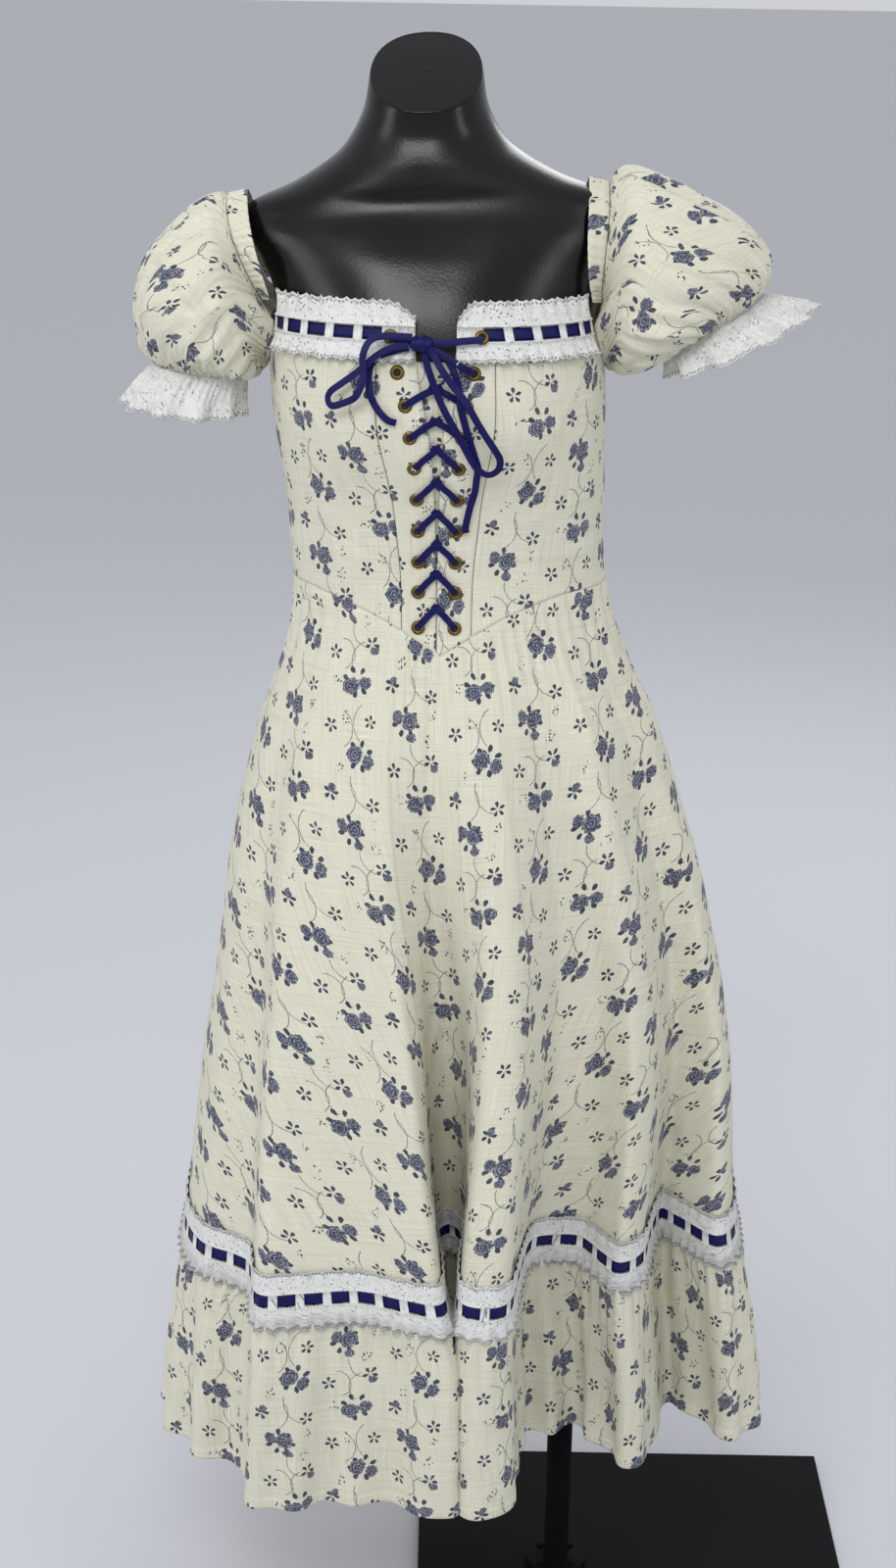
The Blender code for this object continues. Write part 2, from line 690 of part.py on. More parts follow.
def skirt_point(column, height):
    """A point on the outside of the skirt, below the waist seam."""
    x, y, gather, turn = column
    centre_x, half_width, front, back = read_table(DRESS_CUTS, height)
    fold_front, fold_back = read_table(DRESS_CUTS, FOLD_LEVEL_Z)[2:]
    fold_width = read_table(DRESS_CUTS, FOLD_LEVEL_Z)[1]
    angle = turn if turn <= math.pi else turn - 2 * math.pi
    waist = waist_height(angle)
    fold = min(max((waist - height) / (waist - FOLD_LEVEL_Z), 0.0), FOLD_LIMIT) ** FOLD_GROWTH
    flat_depth = front if abs(angle) < math.pi / 2 else back
    reach = oval(angle, half_width, flat_depth)
    flat_x, flat_y = reach * math.sin(angle) / half_width, -reach * math.cos(angle) / flat_depth
    fold_y = y / (fold_front if y < 0 else fold_back)
    place_x, place_y = blend((flat_x, flat_y), (x / fold_width, fold_y), fold)
    depth = front if place_y < 0 else back
    return Vector((centre_x + half_width * place_x, depth * place_y, height))


def ring_normals(points):
    """Level normals of a closed ring that runs left, front, right, back."""
    normals = []
    for index, point in enumerate(points):
        run = points[(index + 1) % len(points)] - points[index - 1]
        normals.append(Vector((run.y, -run.x, 0.0)).normalized())
    return normals


def skirt_ring(columns, height_of):
    points = [skirt_point(column, height_of(column)) for column in columns]
    return points, ring_normals(points)


def take(ring, first, count):
    """Part of a closed ring, with both its ends drawn in by half a seam gap."""
    part = [ring[(first + index) % len(ring)].copy() for index in range(count + 1)]
    part[0] += (part[1] - part[0]).normalized() * SEAM_GAP / 2
    part[-1] += (part[-2] - part[-1]).normalized() * SEAM_GAP / 2
    return part


def take_normals(ring, first, count):
    return [ring[(first + index) % len(ring)] for index in range(count + 1)]


def build_skirt(columns, material, collection):
    parts = (0.0, 0.11, 0.26, 0.44, 0.64, 0.83)
    rings = []

    def height_at(part):
        def height_of(column):
            angle = column[3] if column[3] <= math.pi else column[3] - 2 * math.pi
            top = waist_height(angle) - SEAM_GAP
            return top + (LACE_LINE_Z - top) * part

        return height_of

    for part in (*parts, 1.0):
        rings.append(skirt_ring(columns, height_at(part)))
    rings.append(skirt_ring(columns, lambda column: FLOUNCE_SEAM_Z))
    for name, first, count in (("skirt_front", 0, FRONT_SLOTS), ("skirt_back", FRONT_SLOTS, BACK_SLOTS)):
        points = [take(ring, first, count) for ring, _ in rings]
        normals = [take_normals(outs, first, count) for _, outs in rings]
        cloth_wall(name, points, normals, -CLOTH, 0.0, material, collection)
    return rings[-2], rings[-1]


def lace_corner(upper, lower, first, edge_out):
    """Points of the hem lace, moved out from the lowest facets of the skirt."""
    heights = (HEM_LACE_LOW_Z, HEM_SLOT_LOW_Z, HEM_SLOT_TOP_Z, HEM_LACE_TOP_Z)
    (top_points, top_normals), (low_points, low_normals) = upper, lower
    top_z, low_z = top_points[0].z, low_points[0].z

    def on_column(index, level):
        index = index % len(top_points)
        part = (top_z - heights[level]) / (top_z - low_z)
        point = top_points[index].lerp(low_points[index], part)
        point.z = heights[level]
        normal = top_normals[index].lerp(low_normals[index], min(part, 1.0)).normalized()
        if level == 0:
            ripple = 1.0 if index % 2 else 0.35
            point += normal * edge_out * ripple
            point.z += SCALLOP * (index % 2)
        return point, normal

    def corner(column, level):
        index = int(math.floor(column + 1e-9))
        part = column - index
        point, normal = on_column(first + index, level)
        if part > 1e-6:
            next_point, next_normal = on_column(first + index + 1, level)
            point = point.lerp(next_point, part)
            normal = normal.lerp(next_normal, part).normalized()
        return point, normal

    return corner


def build_hem_lace(upper, lower, lace, ribbon, collection):
    end = 0.02  # of a column, left free at each side seam
    for side, first, count in (("front", 0, FRONT_SLOTS), ("back", FRONT_SLOTS, BACK_SLOTS)):
        corner = lace_corner(upper, lower, first, HEM_SCALLOP_OUT)

        def drawn_in(column, level, corner=corner, count=count):
            return corner(min(max(column, end), count - end), level)

        slotted_wall(
            f"hem_lace_{side}", drawn_in, count, 0, LACE_CLEAR, LACE_CLEAR + LACE, lace, collection
        )
        points, normals = [], []
        for level, shift in ((2, -0.0008), (1, 0.0008)):
            line = [drawn_in(column, level) for column in range(count + 1)]
            points.append([point + Vector((0, 0, shift)) for point, _ in line])
            normals.append([normal for _, normal in line])
        cloth_wall(
            f"hem_ribbon_{side}", points, normals, RIBBON_CLEAR, RIBBON_CLEAR + RIBBON, ribbon, collection
        )


def flounce_wave(turn):
    """Uneven gathers round the flounce, turn going from 0 to 1."""
    drift = 0.33 * math.sin(2 * math.pi * 3 * turn) + 0.21 * math.sin(2 * math.pi * 7 * turn + 1.1)
    size = 0.78 + 0.22 * math.sin(2 * math.pi * 5 * turn + 0.6)
    return size * math.sin(2 * math.pi * (FLOUNCE_WAVES * turn + drift))


def build_flounce(lower, material, collection):
    columns = []
    for rows, count, start in ((FRONT_FOLDS, FRONT_SLOTS, -1), (BACK_FOLDS, BACK_SLOTS, 1)):
        count *= FLOUNCE_STEPS
        for index, (x, y, gather) in enumerate(even_run(rows, count)[:-1]):
            columns.append((x, y, gather, start * math.pi / 2 + math.pi * index / count))
    rings = []
    seam_points = []
    for index, point in enumerate(lower[0]):
        following = lower[0][(index + 1) % len(lower[0])]
        seam_points += [point.lerp(following, step / FLOUNCE_STEPS) for step in range(FLOUNCE_STEPS)]
    for point in seam_points:
        point.z -= FLOUNCE_DROP
    rings.append((seam_points, ring_normals(seam_points)))
    for height, size in ((FLOUNCE_MIDDLE_Z, 0.5), (HEM_Z, 1.0)):
        points, normals = skirt_ring(columns, lambda column, height=height: height)
        for index, point in enumerate(points):
            wave = flounce_wave(index / len(points)) * columns[index][2]
            point += normals[index] * wave * WAVE_AT_HEM * size
        rings.append((points, ring_normals(points)))
    front, back = FRONT_SLOTS * FLOUNCE_STEPS, BACK_SLOTS * FLOUNCE_STEPS
    for name, first, count in (("flounce_front", 0, front), ("flounce_back", front, back)):
        points = [take(ring, first, count) for ring, _ in rings]
        normals = [take_normals(outs, first, count) for _, outs in rings]
        cloth_wall(name, points, normals, -CLOTH, 0.0, material, collection)


def build_neck_lace(lace, ribbon, collection):
    heights = (NECK_LACE_LOW_Z, NECK_SLOT_LOW_Z, NECK_SLOT_TOP_Z, NECK_LACE_TOP_Z)
    slots = len(NECK_LACE_TURNS) - 1
    for name, side in (("left", -1), ("right", 1)):
        start = read_table(FRONT_OPENING, NECK_SLOT_TOP_Z)[1] - 0.001

        def corner(column, level, side=side, start=start):
            height = heights[level]
            if level == 3 and column == 0:
                height -= NECK_LACE_DIP
            turns = [front_angle(side * start, height)]
            turns += [side * math.radians(turn) for turn in (*NECK_LACE_TURNS, NECK_LACE_TURNS[-1])]
            index = int(column + 1e-9)
            angle = turns[index] + (turns[index + 1] - turns[index]) * (column - index)
            point, normal = bodice_point(angle, height), bodice_normal(angle, height)
            if level == 0:
                odd = int(column) % 2
                point += normal * SCALLOP * odd
                point.z += SCALLOP * odd
            return point, normal

        outer = NECK_LACE_CLEAR + LACE
        slotted_wall(f"neck_lace_{name}", corner, slots + 1, 1, NECK_LACE_CLEAR, outer, lace, collection)
        points, normals = [], []
        for level, shift in ((2, -0.0008), (1, 0.0008)):
            line = [corner(column / 2, level) for column in range(2, 2 * slots + 3)]
            points.append([point + Vector((0, 0, shift)) for point, _ in line])
            normals.append([normal for _, normal in line])
        cloth_wall(
            f"neck_ribbon_{name}",
            points,
            normals,
            NECK_RIBBON_CLEAR,
            NECK_RIBBON_CLEAR + RIBBON,
            ribbon,
            collection,
        )


def turned(name, profile, steps, material, collection):
    """A profile of (radius, height), down the outer side, turned round Z."""
    mesh = bpy.data.meshes.new(name)
    points = [(radius, 0.0, height) for radius, height in profile]
    closed = profile[0][0] > 0.0
    edges = [(index, index + 1) for index in range(len(points) - 1)]
    if closed:
        edges.append((len(points) - 1, 0))
    mesh.from_pydata(points, edges, [])
    mesh.materials.append(material)
    item = bpy.data.objects.new(name, mesh)
    screw = item.modifiers.new("Turn", "SCREW")
    screw.steps = screw.render_steps = steps
    screw.use_merge_vertices = True
    screw.merge_threshold = 0.00001
    screw.use_smooth_shade = True
    collection.objects.link(item)
    return item


def build_eyelets(material, collection):
    profile = (
        (EYELET_HOLE, EYELET_RISE * 0.7),
        ((EYELET_HOLE + EYELET_OUTER) / 2, EYELET_RISE),
        (EYELET_OUTER, 0.0),
        (EYELET_HOLE, 0.0),
    )
    first = None
    for row, (height, out) in enumerate(EYELET_ROWS):
        offset = read_table(FRONT_OPENING, height)[2]
        for name, side in (("left", -1), ("right", 1)):
            title = f"eyelet_{name}_{row + 1:02d}"
            item = turned(title, profile, 8, material, collection)
            if first is None:
                first = item.data
            else:
                item.data = first
            angle = front_angle(side * offset, height)
            normal = bodice_normal(angle, height)
            item.matrix_world = Matrix.Translation(front_point(side * offset, height, out)) @ (
                normal.to_track_quat("Z", "Y").to_matrix().to_4x4()
            )


def ribbon_strip(name, route, width, thickness, material, collection):
    """A flat ribbon along a route of points and outward normals."""
    rows, outs = [[], []], [[], []]
    for index, (point, normal) in enumerate(route):
        before, after = route[max(index - 1, 0)][0], route[min(index + 1, len(route) - 1)][0]
        across = normal.cross(after - before).normalized()
        for side in (0, 1):
            rows[side].append(point + across * width * (0.5 - side))
            outs[side].append(normal)
    return cloth_wall(name, rows, outs, -thickness / 2, thickness / 2, material, collection)


def build_lacing(material, collection):
    """Each row of lacing is a chevron over the front, from eyelet to eyelet."""
    for row, (height, out) in enumerate(EYELET_ROWS[:-2]):
        offset = read_table(FRONT_OPENING, height)[2]
        tip = height + LACING_RISE * (1.0 if row < 6 else 0.85)
        route = []
        for part in (-1.0, -0.5, 0.0, 0.5, 1.0):
            level = tip + (height - tip) * abs(part)
            clear = LACING_CROSS_CLEAR + (LACING_CLEAR - LACING_CROSS_CLEAR) * abs(part)
            place = front_point(part * offset, level, out + clear + LACING / 2)
            route.append((place, bodice_normal(front_angle(part * offset, level), level)))
        ribbon_strip(f"lacing_{row + 1:02d}", route, LACING_WIDTH, LACING, material, collection)


def build_knot(material, collection, helpers):
    """The knot, joined with the runs of lacing that it is tied in."""
    body = bmesh.new()
    bmesh.ops.create_uvsphere(body, u_segments=10, v_segments=6, radius=0.5)
    turn = bodice_normal(front_angle(KNOT_X, KNOT_Z), KNOT_Z).to_track_quat("Z", "Y")
    size = Matrix.Diagonal((KNOT_WIDTH, KNOT_HEIGHT, KNOT_DEPTH, 1.0))
    place = Matrix.Translation(front_point(KNOT_X, KNOT_Z, KNOT_OUT))
    bmesh.ops.transform(body, matrix=place @ turn.to_matrix().to_4x4() @ size, verts=body.verts)
    mesh = bpy.data.meshes.new("bow_knot")
    body.to_mesh(mesh)
    body.free()
    mesh.materials.append(material)
    knot = bpy.data.objects.new("bow_knot", mesh)
    collection.objects.link(knot)

    for name, rows in (("top_run", TOP_RUN), ("second_run", SECOND_RUN)):
        run = ribbon_strip(name, bow_route(rows), LACING_WIDTH, LACING, material, helpers)
        run.hide_render = True
        run.display_type = "WIRE"
        join = knot.modifiers.new(name, "BOOLEAN")
        join.operation = "UNION"
        join.solver = "EXACT"
        join.object = run


def bow_route(rows):
    """Points of a ribbon of the bow and the normals of the dress behind them."""
    return [
        (front_point(offset, height, out), bodice_normal(front_angle(offset, height), height))
        for offset, height, out in rows
    ]


def casing_grid(rows):
    """Points and normals of a sleeve's elastic casing, inner edge first."""
    points, normals = [[], []], [[], []]
    run = smooth_run(rows, 2)
    for index, (x, y, height, run_x, run_y) in enumerate(run):
        middle = abs(run_x) / 0.0175
        inner = Vector((x, y, height))
        outer = inner + Vector((run_x, run_y, -CASING_DROP * middle))
        before, after = run[max(index - 1, 0)], run[min(index + 1, len(run) - 1)]
        along = Vector(after[:3]) - Vector(before[:3])
        normal = along.cross(outer - inner).normalized()
        away = inner - Vector((x, 0.0, 1.30))
        if normal.dot(away) < 0:
            normal = -normal
        for side, place in enumerate((inner, outer)):
            points[side].append(place)
            normals[side].append(normal)
    return points, normals


def ellipse_ring(row, count, wave=None):
    """Points round a sleeve from its outermost point by the front, for one table row."""
    outer = Vector((row[0], 0.0, row[1]))
    inner = Vector((row[2], 0.0, row[3]))
    centre, reach = (outer + inner) / 2, (outer - inner) / 2
    ring = []
    for index in range(count):
        turn = 2 * math.pi * index / count
        grow = 1.0 + (wave(turn) / row[4] if wave else 0.0)
        ring.append(centre + (reach * math.cos(turn) + Vector((0, -row[4] * math.sin(turn), 0))) * grow)
    return ring


def armhole_ring(side, casing, count):
    """Where a sleeve starts: along its casing above, and round the armhole below."""
    upper = casing[0][1]
    quarter = count // 4
    ring = [None] * count
    middle = (len(upper) - 1) / 2
    for index in range(-quarter, quarter + 1):
        place = middle - index * middle / quarter
        low = int(min(max(math.floor(place), 0), len(upper) - 2))
        inner = casing[0][0][low].lerp(casing[0][0][low + 1], place - low)
        outer = upper[low].lerp(upper[low + 1], place - low)
        ring[index % count] = outer + (outer - inner).normalized() * SLEEVE_SEAM_GAP
    for index in range(quarter + 1, 3 * quarter):
        part = (index - quarter) / (2 * quarter)
        angle = ARMHOLE_FRONT + (ARMHOLE_BACK - ARMHOLE_FRONT) * part
        height = neck_height(angle) - 0.004
        place = bodice_point(side * angle, height)
        ring[index] = place + bodice_normal(side * angle, height) * ARMHOLE_GAP
    return ring


def tube_normals(rings):
    """Outward normals of a tube given as closed rings."""
    normals = []
    for row, ring in enumerate(rings):
        centre = sum(ring, Vector()) / len(ring)
        before, after = rings[max(row - 1, 0)], rings[min(row + 1, len(rings) - 1)]
        line = []
        for index, point in enumerate(ring):
            round_step = ring[(index + 1) % len(ring)] - ring[index - 1]
            normal = round_step.cross(after[index] - before[index]).normalized()
            line.append(normal)
        facing = sum(normal.dot(point - centre) for normal, point in zip(line, ring))
        normals.append([normal if facing > 0 else -normal for normal in line])
    return normals


def build_sleeve(name, side, casing_rows, sleeve_rows, ruffle_rows, cloth, eyelet_lace, collection):
    casing = casing_grid(casing_rows)
    cloth_wall(f"casing_{name}", *casing, -SLEEVE_WALL, 0.0, cloth, collection)
    rings = [armhole_ring(side, casing, SLEEVE_COLUMNS)]
    rings += [ellipse_ring(row, SLEEVE_COLUMNS) for row in sleeve_rows]
    cloth_wall(f"sleeve_{name}", rings, tube_normals(rings), -SLEEVE_WALL, 0.0, cloth, collection, True)

    count = RUFFLE_WAVES * RUFFLE_STEPS
    rings = []
    for row in ruffle_rows:
        size = row[5]
        rings.append(ellipse_ring(row, count, lambda turn, size=size: size * math.sin(RUFFLE_WAVES * turn)))
    ruffle = f"cuff_ruffle_{name}"
    cloth_wall(ruffle, rings, tube_normals(rings), -SLEEVE_WALL, 0.0, eyelet_lace, collection, True)


def form_ring(row):
    """A level cut of the dress form, tilted forward at the neck."""
    height, centre_x, centre_y, half_width, front, back, tilt = row
    ring = []
    slope = math.radians(tilt)
    for index in range(FORM_COLUMNS):
        angle = 2 * math.pi * index / FORM_COLUMNS
        reach = oval(angle, half_width, front if math.cos(angle) > 0 else back)
        across, along = reach * math.sin(angle), -reach * math.cos(angle)
        lean = SHOULDER_LEAN * min(max((height - SHOULDER_LEAN_Z) / 0.04, 0.0), 1.0)
        lift = along * math.sin(slope) + across * lean
        ring.append(Vector((centre_x + across, centre_y + along * math.cos(slope), height + lift)))
    return ring


def build_form(material, collection):
    rings = [form_ring(row) for row in FORM_HIPS]
    for height in FORM_BODICE_ROWS:
        ring = []
        for index in range(FORM_COLUMNS):
            turn = 2 * math.pi * index / FORM_COLUMNS
            angle = turn if turn <= math.pi else turn - 2 * math.pi
            ring.append(bodice_point(angle, height) - bodice_normal(angle, height) * FORM_EASE)
        rings.append(ring)
    rings += [form_ring(row) for row in FORM_NECK]
    vertices = [point for ring in rings for point in ring]
    count = FORM_COLUMNS
    faces = []
    for row in range(len(rings) - 1):
        for index in range(count):
            following = (index + 1) % count
            low, high = row * count, (row + 1) * count
            faces.append([low + index, low + following, high + following, high + index])
    faces.append(list(range(count)))
    faces.append([len(vertices) - 1 - index for index in range(count)])
    add_object("dress_form", vertices, faces, material, collection)


def build_stand(metal, collection):
    top = FORM_HIPS[0][0] - CLEARANCE
    floor = PLATE + CLEARANCE
    profile = (
        (0.0, top),
        (POLE_RADIUS, top),
        (POLE_RADIUS, floor + FLANGE),
        (FLANGE_RADIUS - 0.001, floor + FLANGE),
        (FLANGE_RADIUS, floor + FLANGE - 0.001),
        (FLANGE_RADIUS, floor),
        (0.0, floor),
    )
    turned("stand_pole", profile, 24, metal, collection)

    bpy.ops.mesh.primitive_cube_add(size=1.0, location=(PLATE_X, PLATE_Y, PLATE / 2))
    plate = bpy.context.object
    plate.name = plate.data.name = "base_plate"
    plate.data.transform(Matrix.Diagonal((PLATE_SIZE, PLATE_SIZE, PLATE, 1.0)))
    bevel = plate.modifiers.new("Edges", "BEVEL")
    bevel.width = 0.0012
    bevel.segments = 1
    plate.data.materials.append(metal)
    for holder in plate.users_collection:
        holder.objects.unlink(plate)
    collection.objects.link(plate)


def main():
    clear_scene()
    dress = bpy.data.collections.new("corset_dress_on_form")
    helpers = bpy.data.collections.new("helpers")
    bpy.context.scene.collection.children.link(dress)
    bpy.context.scene.collection.children.link(helpers)
    cloth = make_material("printed_linen", (0.72, 0.69, 0.56), 0.85)
    lace = make_material("cotton_lace", (0.86, 0.86, 0.84), 0.90)
    satin = make_material("satin_ribbon", (0.035, 0.035, 0.21), 0.38)
    brass = make_material("antique_brass", (0.34, 0.25, 0.11), 0.40, 1.0)
    gloss = make_material("black_gloss_shell", (0.012, 0.012, 0.013), 0.22)
    metal = make_material("black_painted_steel", (0.014, 0.014, 0.015), 0.45)

    build_stand(metal, dress)
    build_form(gloss, dress)
    build_bodice(cloth, dress)
    build_placket(cloth, dress)
    columns = skirt_columns()
    upper, lower = build_skirt(columns, cloth, dress)
    build_hem_lace(upper, lower, lace, satin, dress)
    build_flounce(lower, cloth, dress)
    build_neck_lace(lace, satin, dress)
    build_eyelets(brass, dress)
    build_lacing(satin, dress)
    build_knot(satin, dress, helpers)
    for name, rows in (
        ("bow_loop_left", LEFT_LOOP),
        ("bow_loop_right", RIGHT_LOOP),
        ("bow_tail_left", LEFT_TAIL),
        ("bow_tail_right", RIGHT_TAIL),
    ):
        ribbon_strip(name, bow_route(rows), LACING_WIDTH, LACING, satin, dress)
    build_sleeve("left", -1, LEFT_CASING, LEFT_SLEEVE, LEFT_RUFFLE, cloth, lace, dress)
    build_sleeve("right", 1, RIGHT_CASING, RIGHT_SLEEVE, RIGHT_RUFFLE, cloth, lace, dress)


main()
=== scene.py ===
import math
from functools import partial

import bpy
import numpy as np
from mathutils import Matrix, Vector, noise


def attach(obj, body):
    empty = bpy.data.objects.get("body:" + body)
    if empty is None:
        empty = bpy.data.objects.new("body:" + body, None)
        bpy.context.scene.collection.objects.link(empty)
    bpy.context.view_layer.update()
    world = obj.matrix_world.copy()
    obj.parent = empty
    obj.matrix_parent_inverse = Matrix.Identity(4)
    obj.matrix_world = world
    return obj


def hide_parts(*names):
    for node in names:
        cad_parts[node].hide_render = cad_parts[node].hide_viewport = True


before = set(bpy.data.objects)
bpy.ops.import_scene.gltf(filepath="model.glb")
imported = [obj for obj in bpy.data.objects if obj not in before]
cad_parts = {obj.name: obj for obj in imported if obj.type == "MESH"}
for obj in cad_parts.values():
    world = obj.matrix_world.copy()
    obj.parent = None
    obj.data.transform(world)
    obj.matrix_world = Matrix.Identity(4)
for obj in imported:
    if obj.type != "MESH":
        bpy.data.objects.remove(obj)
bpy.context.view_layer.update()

photo = {
    "place": (-0.124, -2.22, 1.60),
    "down": 18.78,  # degrees below level
    "roll": 1.0,  # degrees
    "lens": 58.5,  # mm on a 36 mm long side
    "shift": (0.0, 0.0),
}


def makeCamera():
    data = bpy.data.cameras.new("camera")
    data.sensor_width = 36.0
    data.lens = photo["lens"]
    data.shift_x, data.shift_y = photo["shift"]
    data.clip_end = 50.0
    camera = bpy.data.objects.new("camera", data)
    bpy.context.scene.collection.objects.link(camera)
    tilt = Matrix.Rotation(math.radians(90.0 - photo["down"]), 4, "X")
    roll = Matrix.Rotation(math.radians(photo["roll"]), 4, "Z")
    camera.matrix_world = Matrix.Translation(photo["place"]) @ tilt @ roll
    bpy.context.scene.camera = camera


# An sRGB hex colour as linear red, green, blue and 1
def linear(hexColour):
    values = [int(hexColour[i : i + 2], 16) / 255 for i in (1, 3, 5)]
    return (*[v / 12.92 if v <= 0.04045 else ((v + 0.055) / 1.055) ** 2.4 for v in values], 1.0)


studio = {
    "world": "#E4E5EA",
    "worldStrength": 0.80,
    "floor": "#D0D2D7",
    # name, place, aimed at, width, height, watts
    "lamps": (
        ("overhead_softbox", (-0.6, -2.6, 3.2), (-0.1, 0.0, 0.9), 1.8, 1.2, 46.0),
        ("left_softbox", (-2.6, -1.4, 1.9), (-0.1, 0.0, 1.0), 0.8, 1.8, 14.0),
        ("right_softbox", (2.4, -1.8, 2.2), (-0.1, 0.0, 1.0), 0.6, 1.8, 9.0),
        ("back_softbox", (0.8, 2.6, 2.6), (-0.1, 0.0, 0.9), 1.5, 1.5, 22.0),
    ),
}


def makeLight():
    world = bpy.data.worlds.new("studio")
    bpy.context.scene.world = world
    world.use_nodes = True
    background = world.node_tree.nodes["Background"]
    background.inputs["Color"].default_value = linear(studio["world"])
    background.inputs["Strength"].default_value = studio["worldStrength"]
    for name, place, aim, width, height, watts in studio["lamps"]:
        data = bpy.data.lights.new(name, "AREA")
        data.shape = "RECTANGLE"
        data.size, data.size_y = width, height
        data.energy = watts
        lamp = bpy.data.objects.new(name, data)
        lamp.location = place
        lamp.rotation_euler = (Vector(aim) - Vector(place)).to_track_quat("-Z", "Y").to_euler()
        bpy.context.scene.collection.objects.link(lamp)
    bpy.context.scene.view_settings.view_transform = "Standard"


# Adds a node with its settings; an input takes a value, a socket or a node's first output
def addNode(tree, kind, inputs=(), **settings):
    node = tree.nodes.new("ShaderNode" + kind)
    for name, value in settings.items():
        setattr(node, name, value)
    for name, value in inputs.items() if isinstance(inputs, dict) else enumerate(inputs):
        if isinstance(value, bpy.types.Node):
            value = value.outputs[0]
        if isinstance(value, bpy.types.NodeSocket):
            tree.links.new(value, node.inputs[name])
        else:
            node.inputs[name].default_value = value
    return node


# A material with fixed values on its Principled shader, and the call that adds nodes to it
def newMaterial(name, **values):
    material = bpy.data.materials.new(name)
    material.use_nodes = True
    shader = material.node_tree.nodes["Principled BSDF"]
    for key, value in values.items():
        shader.inputs[key.replace("_", " ")].default_value = value
    return material, partial(addNode, material.node_tree)


def feedShader(material, sockets):
    shader = material.node_tree.nodes["Principled BSDF"]
    for name, source in sockets.items():
        output = source.outputs[0] if isinstance(source, bpy.types.Node) else source
        material.node_tree.links.new(output, shader.inputs[name])


# The place on the flat cloth in mm, and its two lengths
def clothPlace(add):
    uv = add("UVMap", uv_map="cloth")
    place = add("VectorMath", {0: uv, "Scale": 1000.0}, operation="SCALE")
    flat = add("SeparateXYZ", (place,))
    return place, flat.outputs[0], flat.outputs[1]


# The print, charted in mm: a column 62 wide that repeats every 196 and drops by half
# a repeat from one column to the next
sprig = {
    "width": 62.0,
    "repeat": 196.0,
    "drop": 98.0,
    # x, y, half length, half width, degrees
    "roses": (
        (29, 20, 8.4, 7.0, 20),
        (43, 24, 6.2, 5.4, 0),
        (27, 92, 7.6, 8.4, -30),
        (15, 95, 5.0, 6.0, 10),
        (28, 78, 4.8, 3.8, 0),
        (34, 157, 8.4, 7.4, 60),
        (47, 151, 6.6, 5.4, 70),
        (50, 52, 4.2, 3.4, 30),
        (9, 126, 4.2, 3.4, 60),
    ),
    # round clumps of leaves: x, y, reach, number of leaves, first degree
    "clumps": (
        (34, 24, 14.5, 7, 10),
        (23, 91, 14.0, 7, 40),
        (39, 156, 14.5, 7, 75),
        (10, 48, 7.0, 5, 20),
        (47, 58, 7.5, 5, 60),
        (8, 122, 7.5, 5, 0),
        (49, 114, 7.0, 5, 30),
        (10, 180, 7.0, 5, 50),
        (50, 186, 6.5, 5, 10),
    ),
    # patches of small dots: x, y, half length, half width, degrees
    "seeds": (
        (15, 24, 6.5, 4.5, 0),
        (44, 76, 7.5, 4.5, 60),
        (50, 98, 5.5, 3.5, 60),
        (17, 142, 7.0, 4.0, 60),
        (26, 188, 7.0, 4.5, 75),
    ),
    # vines, as arcs: x, y of the centre, radius, first degree, degrees swept
    "stems": (
        (17, 47, 13.0, -70, 165),
        (44, 44, 16.0, 110, 120),
        (42, 70, 15.0, 170, 110),
        (14, 120, 18.0, -70, 110),
        (50, 132, 22.0, 165, 100),
        (14, 178, 18.0, -60, 120),
        (54, 184, 21.0, 125, 100),
    ),
}

printedLinen = {
    "base": "#D6D4C0",  # unbleached cream
    "thick": "#E3E1D0",  # slubs
    "shade": "#C2C0AB",
    "ink": "#262A46",
    "inkLight": "#8B8F9F",
    "thread": 1.25,  # mm, drawn about twice as coarse as the real 0.6 so that it shows
    "slub": 9.0,  # mm between thick threads
    "waver": 1.8,  # mm that the block's lines waver
    "dots": 0.36,  # dots of a patch to a mm
    "wideClump": 10.0,  # mm of reach from which a clump stands round roses
}


# The rows, and again where they reach over an edge of the repeat
def repeated(rows):
    placed = []
    for x, y, reach, *rest in rows:
        for across in (-1, 0, 1):
            for up in (-2, -1, 0, 1, 2):
                atX = x + across * sprig["width"]
                atY = y - across * sprig["drop"] + up * sprig["repeat"]
                inX = -reach - 0.5 < atX < sprig["width"] + reach + 0.5
                if inX and -reach - 0.5 < atY < sprig["repeat"] + reach + 0.5:
                    placed.append((atX, atY, reach, *rest))
    return placed


